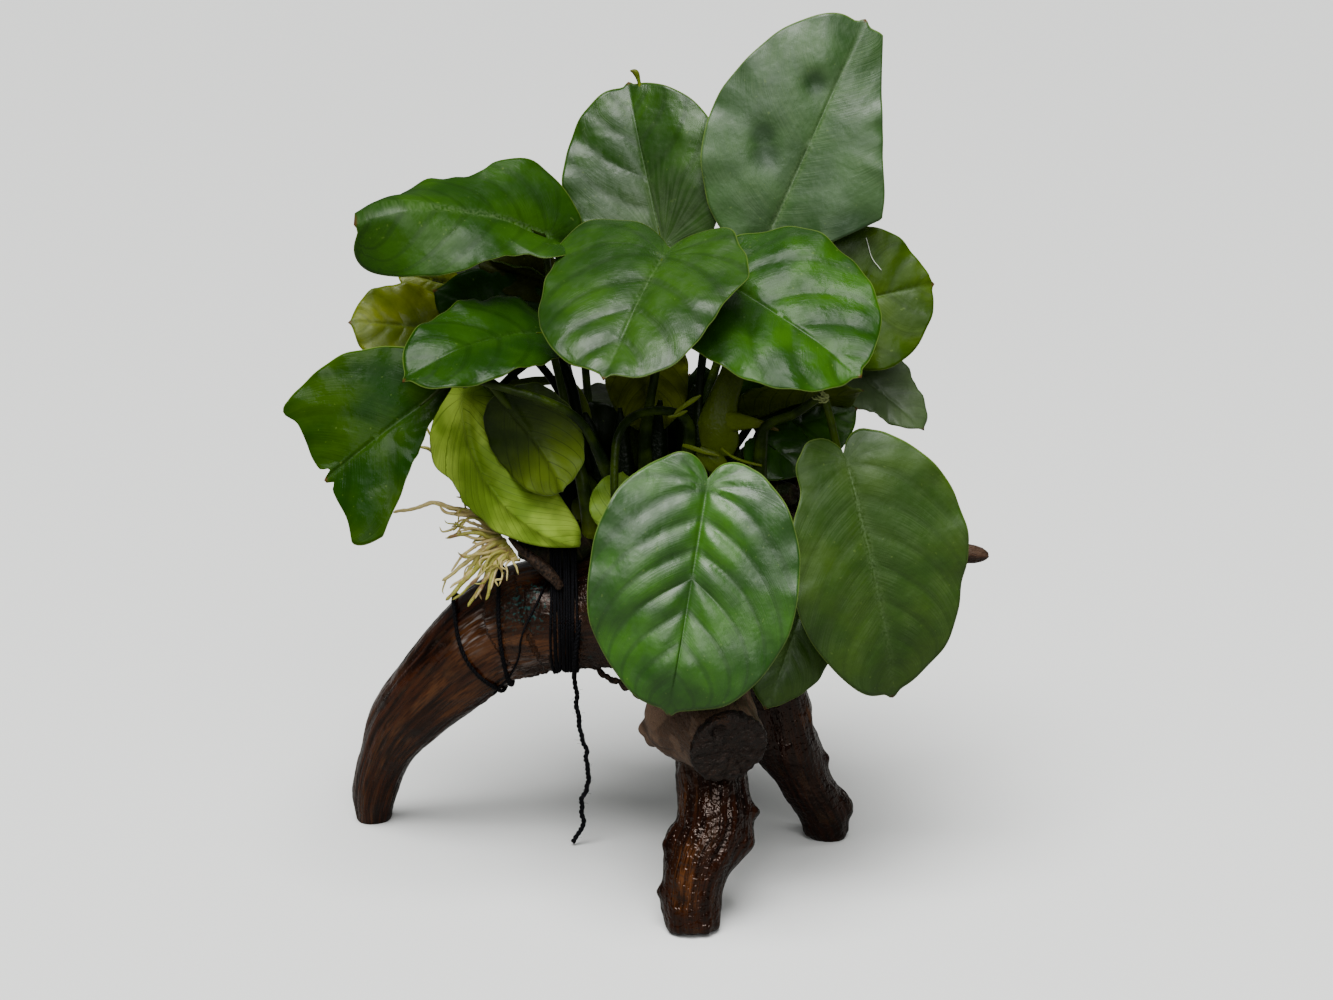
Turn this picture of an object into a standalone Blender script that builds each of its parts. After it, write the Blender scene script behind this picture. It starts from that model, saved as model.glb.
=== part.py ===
"""A creeping water plant with heart-shaped leaves, tied to a three-legged piece of driftwood.

Units are metres and +Z is up. The leaves, stalks and limbs are placed in a plan whose own origin
lies on the floor under the fork of the wood, and ORIGIN_IN_PLAN moves the whole to its frame:
the origin is then on the floor, under the middle of the object's box. The viewer stands at -Y.
"""

from collections import namedtuple
from math import acos, atan2, cos, exp, pi, radians, sin, sqrt

import bmesh
import bpy
from mathutils import Matrix, Vector, noise

ORIGIN_IN_PLAN = Vector((-0.0026, 0.0006, 0.0))
GAP = 0.0003

BLADE_THICKNESS = 0.0008
BLADE_SPOKES = 18
SPOKE_PULL = 0.22
BLADE_RINGS = (0.36, 0.70, 1.0)
SINUS_SPREAD = 0.42
TIP_SPREAD = 0.20
TIP_LENGTH = 0.03
WIDEST_AT = 0.45
STALK_SIDES = 5
STALK_STEPS = 5
STALK_RADIUS = 0.00115
STALK_FOOT = 1.25
STALK_TOP = 0.90
STALK_LEAD = 0.0030
STALK_BOW = 0.30

# One leaf. base is where the blade joins its stalk, and length runs from there along the midrib.
# face is where the upper side looks. heel is how far the lobes reach behind the stalk, as a share
# of the length. In degrees, arch bends the blade lengthways, curl bends each half, fold is the
# slope of the halves at the stalk and at the tip, and roll turns the blade about its midrib.
# root is where its stalk starts: the X on the rhizome, and how far round it from the front.
# meets is how the stalk comes to the blade: from under it, at the margin behind it, or folded back
# along it. via are points that the stalk passes. trims are torn or cut margins: the direction of
# each from the midrib in degrees, and its distance. notch is how deep the cleft between the lobes
# is, and ovate makes the blade wider towards the stalk.
Leaf = namedtuple(
    "Leaf",
    "name base tip face width root meets heel arch fold curl roll via trims notch ovate",
)


def leaf(name, base, tip, face, width, root, meets="under", heel=0.17, arch=25, fold=(14, 4),
         curl=-12, roll=0, via=(), trims=(), notch=0.55, ovate=0.10):
    """One leaf of the plant, with the shape of a common blade unless it says otherwise."""
    return Leaf(name, Vector(base), Vector(tip), Vector(face), width, root, meets, heel, arch, fold,
                curl, roll, [Vector(p) for p in via], trims, notch, ovate)


LEAVES = [
    leaf("top_right", (0.0269, 0.0060, 0.1667), (0.0508, 0.0170, 0.2188), (0.05, -0.93, 0.35),
         0.0540, (0.0110, 110), trims=((-66, 0.0262),), heel=0.15, arch=16, curl=-16),
    leaf("top_middle", (-0.0010, 0.0130, 0.1610), (-0.0100, 0.0280, 0.2020), (-0.20, -0.92, 0.30),
         0.0450, (-0.0040, 125), heel=0.12, arch=20, fold=(20, 10)),
    leaf("middle", (-0.0008, -0.0160, 0.1624), (-0.0146, -0.0520, 0.1383), (-0.18, -0.62, 0.76),
         0.0530, (-0.0030, 70), heel=0.30, arch=20, curl=-26, notch=0.62),
    leaf("middle_right", (0.0148, -0.0120, 0.1551), (0.0470, -0.0360, 0.1362), (0.22, -0.74, 0.62),
         0.0490, (0.0110, 50), heel=0.28, arch=18),
    leaf("top_left", (-0.0300, 0.0060, 0.1644), (-0.0788, -0.0100, 0.1690), (-0.05, -0.60, 0.80),
         0.0420, (-0.0148, 132), heel=0.18, arch=58, fold=(34, -46), trims=((-100, 0.0178),),
         ovate=0.05),
    leaf("middle_left", (-0.0288, -0.0080, 0.1422), (-0.0622, -0.0360, 0.1366), (-0.10, -0.62, 0.78),
         0.0300, (-0.0195, 30), heel=0.12, arch=40),
    leaf("far_left", (-0.0567, -0.0220, 0.1297), (-0.0925, -0.0350, 0.1026), (-0.25, -0.90, 0.34),
         0.0470, (-0.0125, 22), meets="margin", trims=((-11, 0.0342), (130, 0.0010)),
         heel=0.12, arch=16, ovate=-0.05,
         via=((-0.0165, -0.0240, 0.1140), (-0.0243, -0.0280, 0.1261), (-0.0441, -0.0290, 0.1335))),
    leaf("hanging_left", (-0.0503, -0.0100, 0.1264), (-0.0203, -0.0180, 0.0885), (0.80, 0.25, 0.55),
         0.0280, (-0.0345, 110), meets="margin", heel=0.08, arch=-84, roll=74, curl=14,
         notch=0.15,
         via=((-0.0385, 0.0020, 0.1010), (-0.0480, 0.0025, 0.1230))),
    leaf("inner_left", (-0.0334, -0.0200, 0.1344), (-0.0307, -0.0240, 0.1050), (0.20, 0.92, 0.20),
         0.0270, (-0.0160, 85), meets="margin", heel=0.14, arch=16, notch=0.15,
         via=((-0.0295, -0.0080, 0.1210), (-0.0340, -0.0155, 0.1355))),
    leaf("pale_left", (-0.0590, 0.0120, 0.1394), (-0.0816, 0.0060, 0.1422), (-0.10, -0.85, 0.50),
         0.0240, (-0.0185, 128), heel=0.12, arch=20),
    leaf("right", (0.0425, 0.0060, 0.1461), (0.0682, 0.0060, 0.1523), (0.42, -0.80, 0.40),
         0.0390, (0.0190, 165), heel=0.22, arch=24),
    leaf("low_right", (0.0477, 0.0130, 0.1289), (0.0677, 0.0070, 0.1133), (0.25, -0.80, 0.50),
         0.0220, (0.0225, 150), heel=0.14, arch=24),
    leaf("front", (0.0096, -0.0480, 0.1116), (0.0008, -0.0620, 0.0602), (0.00, -0.96, 0.28),
         0.0510, (0.0030, 10), heel=0.16, arch=28, notch=0.75),
    leaf("front_right", (0.0440, -0.0300, 0.1140), (0.0570, -0.0320, 0.0550), (0.22, -0.96, 0.16),
         0.0460, (0.0270, 5), heel=0.14, arch=34, notch=0.75, ovate=0.06,
         via=((0.0256, -0.0215, 0.1226), (0.0384, -0.0245, 0.1283))),
    leaf("low_front", (0.0362, -0.0180, 0.0790), (0.0250, -0.0320, 0.0512), (0.25, -0.92, 0.25),
         0.0230, (0.0225, -10), meets="margin", heel=0.14, arch=24, notch=0.15,
         via=((0.0300, -0.0170, 0.0965), (0.0360, -0.0195, 0.0890))),
    leaf("young_front", (-0.0133, -0.0280, 0.0976), (-0.0109, -0.0240, 0.1096), (0.10, 0.95, 0.20),
         0.0140, (0.0045, 35), meets="folded", heel=0.16, arch=16,
         via=((0.0054, -0.0140, 0.1200), (-0.0050, -0.0185, 0.1240), (-0.0121, -0.0255, 0.1190))),
    leaf("shaded_right", (0.0219, 0.0000, 0.1197), (0.0496, -0.0050, 0.1261), (0.10, 0.55, 0.80),
         0.0240, (0.0160, 120), heel=0.14, arch=24),
    leaf("shaded_low", (0.0237, -0.0045, 0.1142), (0.0345, -0.0095, 0.1062), (0.10, -0.75, 0.65),
         0.0190, (0.0165, 60), heel=0.14, arch=24),
    leaf("inner_middle", (-0.0065, 0.0030, 0.1400), (-0.0040, 0.0000, 0.1140), (0.15, 0.90, 0.30),
         0.0230, (-0.0095, 100), meets="margin", heel=0.14, arch=16, notch=0.15,
         via=((-0.0075, 0.0085, 0.1150), (-0.0072, 0.0095, 0.1350))),
    leaf("back_left", (-0.0310, 0.0230, 0.1500), (-0.0600, 0.0450, 0.1460), (-0.15, 0.45, 0.88),
         0.0330, (-0.0140, 165), heel=0.16, arch=34),
    leaf("back_middle", (-0.0040, 0.0240, 0.1560), (-0.0160, 0.0600, 0.1640), (0.00, 0.10, 0.99),
         0.0360, (-0.0010, 165), heel=0.16, arch=38),
    leaf("back_right", (0.0220, 0.0260, 0.1480), (0.0480, 0.0580, 0.1450), (0.20, 0.40, 0.90),
         0.0360, (0.0100, 165), heel=0.16, arch=38),
    leaf("back_low", (-0.0080, 0.0300, 0.1180), (-0.0170, 0.0640, 0.0930), (-0.05, 0.70, 0.70),
         0.0330, (-0.0070, 190), heel=0.16, arch=38),
]


def material(name, colour, roughness, metallic=0.0):
    """A plain finish: the colour, roughness and metallic value of the real surface."""
    made = bpy.data.materials.new(name)
    made.use_nodes = True
    shader = made.node_tree.nodes["Principled BSDF"]
    shader.inputs["Base Color"].default_value = (*colour, 1.0)
    shader.inputs["Roughness"].default_value = roughness
    shader.inputs["Metallic"].default_value = metallic
    return made


def new_object(name, points, faces, finish):
    """A closed solid from its points and faces, moved from the plan to the object's frame."""
    mesh = bpy.data.meshes.new(name)
    mesh.from_pydata([Vector(p) - ORIGIN_IN_PLAN for p in points], [], faces)
    mesh.update()
    mesh.materials.append(finish)
    mesh.shade_smooth()
    made = bpy.data.objects.new(name, mesh)
    bpy.context.scene.collection.objects.link(made)
    return made


def blade_frame(item):
    """The blade's own axes, as columns: along the chord of the midrib, across it, and up."""
    along = (item.tip - item.base).normalized()
    up = (item.face - along * item.face.dot(along)).normalized()
    return Matrix((along, up.cross(along), up)).transposed()


def midrib_length(item):
    """The length of the bent midrib between the stalk and the tip."""
    chord = (item.tip - item.base).length
    half = radians(item.arch) / 2
    return chord * half / sin(half)


def reach(item, angle):
    """How far the margin of the flat blade is from the stalk, at an angle from the midrib."""
    length = midrib_length(item)
    heel = item.heel * length
    middle = (length - heel) / 2
    half_length = (length + heel) / 2
    half_width = item.width / 2
    a = (cos(angle) / half_length) ** 2 + (sin(angle) / half_width) ** 2
    b = -2 * cos(angle) * middle / half_length**2
    c = (middle / half_length) ** 2 - 1
    far = (-b + sqrt(b * b - 4 * a * c)) / (2 * a)
    far *= 1 - item.notch * exp(-(((pi - abs(angle)) / SINUS_SPREAD) ** 2))
    far *= 1 - TIP_LENGTH + TIP_LENGTH * exp(-abs(angle) / TIP_SPREAD)
    for direction, distance in item.trims:
        across = cos(angle - radians(direction))
        if across > 0.05:
            far = min(far, distance / across)
    return far


def blade_point(item, axes, x, y, lift):
    """Where a point of the flat blade lies: x along the midrib, y across it, lift off its middle."""
    length = midrib_length(item)
    bend = radians(item.arch)
    radius = length / bend
    y *= 1 + item.ovate * (WIDEST_AT - x / length)
    turn = bend * (x / length - 0.5)
    slope = radians(item.fold[0] + (item.fold[1] - item.fold[0]) * x / length)
    bow = radians(item.curl) / (item.width / 2)
    lean = slope + bow * abs(y)
    across = (sin(lean) - sin(slope)) / bow
    rise = (cos(slope) - cos(lean)) / bow
    across = across if y > 0 else -across
    across -= lift * sin(lean) * (1 if y > 0 else -1)
    rise += lift * cos(lean)
    roll = radians(item.roll)
    across, rise = across * cos(roll) + rise * sin(roll), rise * cos(roll) - across * sin(roll)
    chord = (item.tip - item.base).length
    local = Vector((
        chord / 2 + radius * sin(turn) + rise * sin(turn),
        across,
        radius * (cos(turn) - cos(bend / 2)) + rise * cos(turn),
    ))
    return item.base + axes @ local


def spoke_angles():
    """Angles round the stalk for the blade's spokes, closer together at the lobes and the tip."""
    even = [2 * pi * i / BLADE_SPOKES for i in range(BLADE_SPOKES)]
    return [a - SPOKE_PULL * sin(2 * a) for a in even]


def blade(item, finish):
    """The leaf blade: a thin curved plate with an upper and a lower skin that meet at the margin."""
    axes = blade_frame(item)
    angles = [(a + pi) % (2 * pi) - pi for a in spoke_angles()]
    points = []
    for lift in (BLADE_THICKNESS / 2, -BLADE_THICKNESS / 2):
        points.append(blade_point(item, axes, 0.0, 1e-7, lift))
        for share in BLADE_RINGS:
            for angle in angles:
                far = share * reach(item, angle)
                points.append(blade_point(item, axes, far * cos(angle), far * sin(angle), lift))
    skin = 1 + len(BLADE_RINGS) * BLADE_SPOKES
    faces = []
    for i in range(BLADE_SPOKES):
        j = (i + 1) % BLADE_SPOKES
        faces.append((0, 1 + i, 1 + j))
        faces.append((skin, skin + 1 + j, skin + 1 + i))
        for ring in range(len(BLADE_RINGS) - 1):
            inner = 1 + ring * BLADE_SPOKES
            outer = inner + BLADE_SPOKES
            faces.append((inner + i, outer + i, outer + j, inner + j))
            faces.append((skin + inner + j, skin + outer + j, skin + outer + i, skin + inner + i))
        rim = 1 + (len(BLADE_RINGS) - 1) * BLADE_SPOKES
        faces.append((rim + i, skin + rim + i, skin + rim + j, rim + j))
    return new_object("leaf_" + item.name, points, faces, finish)


def smooth_path(knots, steps):
    """Points along a smooth curve through the knots, with so many steps between each two."""
    ends = [2 * knots[0] - knots[1], *knots, 2 * knots[-1] - knots[-2]]
    path = []
    for a, b, c, d in zip(ends, ends[1:], ends[2:], ends[3:]):
        for i in range(steps):
            t = i / steps
            path.append(0.5 * (2 * b + (c - a) * t + (2 * a - 5 * b + 4 * c - d) * t * t
                               + (3 * b - a - 3 * c + d) * t**3))
    return [*path, knots[-1].copy()]


def evened(path, count):
    """The path again, as so many points at even distances along it."""
    lengths = [0.0]
    for a, b in zip(path, path[1:]):
        lengths.append(lengths[-1] + (b - a).length)
    made, k = [], 0
    for i in range(count):
        want = lengths[-1] * i / (count - 1)
        while k < len(path) - 2 and lengths[k + 1] < want:
            k += 1
        share = (want - lengths[k]) / (lengths[k + 1] - lengths[k])
        made.append(path[k].lerp(path[k + 1], min(max(share, 0.0), 1.0)))
    return made


def rings_along(path, up):
    """At each point of the path, its direction and two directions square to it that never twist."""
    found = []
    side = None
    for i, point in enumerate(path):
        ahead = path[min(i + 1, len(path) - 1)] - path[max(i - 1, 0)]
        ahead.normalize()
        if side is None:
            side = ahead.cross(up).normalized()
        else:
            side = (side - ahead * side.dot(ahead)).normalized()
        found.append((point, ahead, side, ahead.cross(side)))
    return found


def tube(name, path, widths, sides, finish, up=Vector((0, 0, 1)), lump=None, floor_end=False,
         start_x=None):
    """A closed tube along a path. widths holds its radius at each point, or a pair of radii.

    lump(step, angle) gives a factor on the radius. With floor_end the last ring is cut level at z 0,
    and with start_x the first ring is cut square to X there.
    """
    points = []
    for step, (point, ahead, side, over) in enumerate(rings_along(path, up)):
        pair = widths[step] if isinstance(widths[step], tuple) else (widths[step], widths[step])
        for k in range(sides):
            angle = 2 * pi * k / sides
            factor = lump(step / (len(path) - 1), angle) if lump else 1.0
            spot = point + factor * (side * (pair[0] * cos(angle)) + over * (pair[1] * sin(angle)))
            if floor_end and step == len(path) - 1:
                spot -= ahead * (spot.z / ahead.z)
            if start_x is not None and step == 0:
                spot -= ahead * ((spot.x - start_x) / ahead.x)
            points.append(spot)
    faces = []
    for step in range(len(path) - 1):
        for k in range(sides):
            a, b = step * sides + k, step * sides + (k + 1) % sides
            faces.append((a, b, b + sides))
            faces.append((a, b + sides, a + sides))
    last = (len(path) - 1) * sides
    faces.append(tuple(reversed(range(sides))))
    faces.append(tuple(last + k for k in range(sides)))
    return new_object(name, points, faces, finish)


# The driftwood. Each limb is a route with its radius at each point, in metres. A knot is a boss on
# the bark: how far along the limb and how far round it (degrees), how high (a share of the radius),
# and how wide along and round.
LIMB_SIDES = 12
LEFT_FORK_X = -0.0315
CROWN_ROUTE = (
    ((-0.0315, 0.0014, 0.0656), (0.0148, 0.0151)),
    ((-0.0250, 0.0010, 0.0660), (0.0150, 0.0154)),
    ((-0.0120, 0.0000, 0.0690), (0.0160, 0.0185)),
    ((0.0040, -0.0030, 0.0720), (0.0175, 0.0210)),
    ((0.0190, -0.0020, 0.0760), (0.0165, 0.0200)),
    ((0.0290, 0.0010, 0.0850), (0.0130, 0.0150)),
    ((0.0330, 0.0030, 0.0960), (0.0085, 0.0095)),
    ((0.0345, 0.0035, 0.1030), (0.0045, 0.0050)),
)
ARM_ROUTE = (
    ((-0.0318, 0.0014, 0.0656), 0.0150),
    ((-0.0410, 0.0040, 0.0618), 0.0146),
    ((-0.0498, 0.0060, 0.0556), 0.0134),
    ((-0.0636, 0.0100, 0.0413), 0.0113),
    ((-0.0727, 0.0140, 0.0297), 0.0092),
    ((-0.0777, 0.0170, 0.0196), 0.0072),
    ((-0.0810, 0.0195, 0.0080), 0.0060),
    ((-0.0818, 0.0215, 0.0000), 0.0050),
)
FRONT_LEG_ROUTE = (
    ((0.0090, -0.0080, 0.0660), 0.0070),
    ((0.0095, -0.0190, 0.0560), 0.0090),
    ((0.0108, -0.0330, 0.0420), 0.0090),
    ((0.0117, -0.0420, 0.0290), 0.0088),
    ((0.0112, -0.0455, 0.0225), 0.0088),
    ((0.0085, -0.0480, 0.0175), 0.0083),
    ((0.0071, -0.0500, 0.0120), 0.0076),
    ((0.0065, -0.0510, 0.0060), 0.0073),
    ((0.0066, -0.0520, 0.0000), 0.0070),
)
STUB_ROUTE = (
    ((0.0060, -0.0080, 0.0660), 0.0090),
    ((0.0070, -0.0200, 0.0610), 0.0120),
    ((0.0092, -0.0330, 0.0560), 0.0114),
    ((0.0125, -0.0450, 0.0510), 0.0102),
    ((0.0155, -0.0550, 0.0480), 0.0097),
)
RIGHT_LEG_ROUTE = (
    ((0.0230, -0.0010, 0.0660), 0.0078),
    ((0.0258, -0.0015, 0.0540), 0.0086),
    ((0.0294, -0.0010, 0.0430), 0.0080),
    ((0.0330, 0.0010, 0.0290), 0.0080),
    ((0.0368, 0.0035, 0.0190), 0.0070),
    ((0.0422, 0.0070, 0.0080), 0.0068),
    ((0.0450, 0.0095, 0.0000), 0.0055),
)
TWIG_ROUTE = (
    ((0.0290, 0.0020, 0.0860), 0.0050),
    ((0.0430, 0.0045, 0.0860), 0.0052),
    ((0.0580, 0.0080, 0.0840), 0.0040),
    ((0.0720, 0.0100, 0.0810), 0.0031),
    ((0.0820, 0.0115, 0.0790), 0.0024),
    ((0.0862, 0.0120, 0.0783), 0.0013),
)


def limb(name, route, rings, knots, finish, seed=0.0, rough=0.05, floor_end=False, start_x=None):
    """A limb of driftwood: a lumpy tube along its route, with its knots."""
    path = evened(smooth_path([Vector(p) for p, _ in route], 6), rings)
    pairs = [r if isinstance(r, tuple) else (r, r) for _, r in route]
    spread = smooth_path([Vector((a, b, 0)) for a, b in pairs], 6)
    along = smooth_path([Vector(p) for p, _ in route], 6)
    widths = []
    for point in path:
        nearest = min(range(len(along)), key=lambda i: (along[i] - point).length)
        widths.append((spread[nearest].x, spread[nearest].y))

    def lump(share, angle):
        spot = Vector((cos(angle) * 1.3, sin(angle) * 1.3, share * 7 + seed))
        factor = 1 + rough * noise.noise(spot)
        for at, turn, height, long, wide in knots:
            away = acos(max(-1.0, min(1.0, cos(angle - radians(turn)))))
            factor += height * exp(-(((share - at) / long) ** 2) - (away / radians(wide)) ** 2)
        return factor

    return tube(name, path, widths, LIMB_SIDES, finish, Vector((0, 1, 0.2)), lump, floor_end, start_x)


def cutter_of(solid):
    """A copy of a solid that only cuts, swollen by the gap that neighbours keep."""
    made = solid.copy()
    made.data = solid.data.copy()
    made.name = solid.name + "_cutter"
    bpy.context.scene.collection.objects.link(made)
    swell = made.modifiers.new("swell", "DISPLACE")
    swell.strength = GAP
    swell.mid_level = 0.0
    made.hide_render = True
    made.display_type = "WIRE"
    return made


def cut_back(solid, cutters):
    """Ends the solid a gap short of the neighbours that it grows from."""
    for cutter in cutters:
        cut = solid.modifiers.new("fork", "BOOLEAN")
        cut.operation = "DIFFERENCE"
        cut.solver = "EXACT"
        cut.object = cutter


def driftwood(finish):
    """The crown and the limbs that fork from it. Each limb ends a gap short of the crown."""
    crown = limb("driftwood_crown", CROWN_ROUTE, 12, (
        (0.45, 200, 0.16, 0.10, 40), (0.70, 20, 0.14, 0.08, 35)), finish, 3.0, 0.12,
        start_x=LEFT_FORK_X)
    arm = limb("driftwood_left_arm", ARM_ROUTE, 13, (), finish, 8.0, 0.05, True,
               start_x=LEFT_FORK_X - GAP)
    stub = limb("driftwood_front_stub", STUB_ROUTE, 6, (
        (0.66, 185, 0.66, 0.18, 32),), finish, 12.0, 0.08)
    leg = limb("driftwood_front_leg", FRONT_LEG_ROUTE, 14, (
        (0.76, 185, 0.20, 0.05, 30), (0.64, 0, 0.14, 0.06, 34), (0.76, 5, 0.12, 0.05, 28),
        (0.90, 190, 0.14, 0.05, 30)), finish, 21.0, 0.06, True)
    right = limb("driftwood_right_leg", RIGHT_LEG_ROUTE, 11, (
        (0.56, 175, 0.20, 0.10, 40), (0.88, 0, 0.34, 0.05, 30), (0.66, 350, 0.16, 0.06, 30)),
        finish, 30.0, 0.08, True)
    twig = limb("driftwood_side_twig", TWIG_ROUTE, 8, (), finish, 40.0, 0.08)
    around_crown = cutter_of(crown)
    around_stub = cutter_of(stub)
    cut_back(stub, [around_crown])
    cut_back(leg, [around_crown, around_stub])
    cut_back(right, [around_crown])
    cut_back(twig, [around_crown])
    return crown, arm


# The rhizome is the plant's creeping stem. It lies along the top of the crown.
RHIZOME_ROUTE = (
    ((-0.0385, -0.0085, 0.0872), 0.0028),
    ((-0.0335, -0.0078, 0.0850), 0.0036),
    ((-0.0268, -0.0070, 0.0847), 0.0042),
    ((-0.0180, -0.0040, 0.0895), 0.0045),
    ((-0.0080, -0.0020, 0.0914), 0.0046),
    ((0.0020, -0.0030, 0.0940), 0.0047),
    ((0.0110, -0.0030, 0.0964), 0.0046),
    ((0.0190, -0.0040, 0.0987), 0.0044),
    ((0.0270, -0.0075, 0.0998), 0.0039),
    ((0.0340, -0.0110, 0.1010), 0.0026),
)
RHIZOME_RINGS = 15
NODE_SWELL = 1.05
NODE_WAIST = 0.97


def rhizome_at(x):
    """The middle of the rhizome where it crosses an X of the plan, its direction, and its radius."""
    knots = [Vector(p) for p, _ in RHIZOME_ROUTE]
    radii = [Vector((r, 0, 0)) for _, r in RHIZOME_ROUTE]
    path, thick = smooth_path(knots, 6), smooth_path(radii, 6)
    low = max(i for i in range(len(path) - 1) if path[i].x <= x)
    share = (x - path[low].x) / (path[low + 1].x - path[low].x)
    middle = path[low].lerp(path[low + 1], share)
    return middle, (path[low + 1] - path[low]).normalized(), thick[low].lerp(thick[low + 1], share).x


def rhizome(finish):
    """The creeping stem, with a low ring where each old leaf was."""
    path = evened(smooth_path([Vector(p) for p, _ in RHIZOME_ROUTE], 6), RHIZOME_RINGS)
    widths = []
    for i, point in enumerate(path):
        widths.append(rhizome_at(point.x)[2] * (NODE_SWELL if i % 2 else NODE_WAIST))
    return tube("rhizome", path, widths, 9, finish, Vector((0, 1, 0.2)))


def on_rhizome(x, turn):
    """Where a stalk springs from the rhizome, so far round it from the front, and its direction."""
    middle, ahead, radius = rhizome_at(x)
    front = (Vector((0, -1, 0)) + ahead * ahead.y).normalized()
    over = front.cross(ahead)
    over = over if over.z > 0 else -over
    way = front * cos(radians(turn)) + over * sin(radians(turn))
    return middle + way * (radius * NODE_SWELL + 3 * GAP), way


def stalk(item, finish):
    """The leaf's stalk, from the rhizome to the blade at its notch."""
    axes = blade_frame(item)
    along, up = Vector(axes.col[0]), Vector(axes.col[2])
    slope = radians(item.arch) / 2
    rib = along * cos(slope) + up * sin(slope)
    normal = up * cos(slope) - along * sin(slope)
    start, way = on_rhizome(*item.root)
    end = item.base - normal * (BLADE_THICKNESS / 2 + GAP + STALK_RADIUS)
    if item.meets == "margin":
        arrive = (rib * 0.9 - normal * 0.3).normalized()
        end = item.base - rib * (reach(item, pi) + GAP + STALK_RADIUS)
    elif item.meets == "folded":
        arrive = (normal - rib).normalized()
    else:
        arrive = (normal + rib).normalized()
    bow = (end - start).length * STALK_BOW
    if item.via:
        knots = [start, start + way * STALK_LEAD, *item.via, end - arrive * STALK_LEAD, end]
    else:
        knots = []
        lead, trail = start + way * bow, end - arrive * bow
        for i in range(5):
            t = i / 4
            knots.append(start * (1 - t) ** 3 + lead * 3 * t * (1 - t) ** 2
                         + trail * 3 * t * t * (1 - t) + end * t**3)
    steps = STALK_STEPS + len(item.via)
    path = evened(smooth_path(knots, 8), steps + 1)
    taper = (STALK_FOOT - STALK_TOP) / steps
    widths = [STALK_RADIUS * (STALK_FOOT - taper * i) for i in range(steps + 1)]
    return tube("stalk_" + item.name, path, widths, STALK_SIDES, finish, Vector((0.3, 1, 0.2)))


# The roots come out of the old end of the rhizome, over the left arm. Each is a route with the
# radius of the root where it starts; it tapers towards its tip.
ROOT_TAPER = 0.55
ROOT_SIDES = 6
LONG_ROOT = (
    (-0.0412, -0.0080, 0.0896), (-0.0455, -0.0055, 0.0925), (-0.0509, -0.0045, 0.0946),
    (-0.0600, -0.0070, 0.0977), (-0.0700, -0.0100, 0.0955),
)
RISING_ROOT = (
    (-0.0405, -0.0050, 0.0905), (-0.0450, 0.0000, 0.0970), (-0.0505, 0.0015, 0.1020),
    (-0.0574, 0.0005, 0.1070), (-0.0608, -0.0015, 0.1152),
)
KNOB = (-0.0411, -0.0112, 0.0834)
KNOB_RADIUS = 0.0020
TUFT = (
    (((-0.0480, -0.0115, 0.0838), (-0.0535, -0.0115, 0.0812), (-0.0579, -0.0120, 0.0785)), 0.00095),
    (((-0.0470, -0.0130, 0.0825), (-0.0530, -0.0140, 0.0780), (-0.0571, -0.0140, 0.0735)), 0.00110),
    (((-0.0445, -0.0150, 0.0815), (-0.0485, -0.0168, 0.0770), (-0.0507, -0.0170, 0.0730)), 0.00100),
    (((-0.0424, -0.0155, 0.0815), (-0.0448, -0.0180, 0.0785), (-0.0461, -0.0190, 0.0755)), 0.00095),
    (((-0.0470, -0.0105, 0.0860), (-0.0530, -0.0095, 0.0875), (-0.0575, -0.0090, 0.0880)), 0.00090),
)


def root(name, route, thick, finish, steps=9):
    """One root: a tapering tube along a smooth curve through its points."""
    path = evened(smooth_path([Vector(p) for p in route], 6), steps)
    widths = [thick * (1 - ROOT_TAPER * i / (steps - 1)) for i in range(steps)]
    return tube(name, path, widths, ROOT_SIDES, finish, Vector((0.2, 1, 0.3)))


def roots(finish):
    """Two single roots, and the tuft of roots that grow from one knob and stay joined there."""
    root("root_long", LONG_ROOT, 0.00080, finish)
    root("root_rising", RISING_ROOT, 0.00080, finish)
    knob = Vector(KNOB)
    bulge = [knob + Vector((0, 0, h * KNOB_RADIUS)) for h in (0.9, 0.4, -0.4, -0.9)]
    tuft = tube("root_tuft", bulge, [KNOB_RADIUS * w for w in (0.5, 1.0, 1.0, 0.5)], 7, finish,
                Vector((0, 1, 0)))
    for i, (route, thick) in enumerate(TUFT):
        strand = root(f"tuft_strand_{i}", (KNOB, *route), thick, finish, 6)
        strand.hide_render = True
        strand.display_type = "WIRE"
        grow = tuft.modifiers.new("strand", "BOOLEAN")
        grow.operation = "UNION"
        grow.solver = "EXACT"
        grow.object = strand


# The black thread ties the rhizome down. THREAD is its radius, and WIND_GAP what it keeps to the
# smooth hull of the bark that it is wound on.
THREAD = 0.00065
WIND_GAP = 0.0008
BAND_AT = -0.0268
BAND_WIDTH = 0.0062
BAND_THICKNESS = 0.0011
BAND_POINTS = 24


def hull_2d(points):
    """The convex outline round points of a plane, in order."""
    points = sorted(points)

    def half(run):
        kept = []
        for p in run:
            while len(kept) > 1 and ((kept[-1][0] - kept[-2][0]) * (p[1] - kept[-2][1])
                                     - (kept[-1][1] - kept[-2][1]) * (p[0] - kept[-2][0])) <= 0:
                kept.pop()
            kept.append(p)
        return kept[:-1]

    return half(points) + half(points[::-1])


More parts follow.
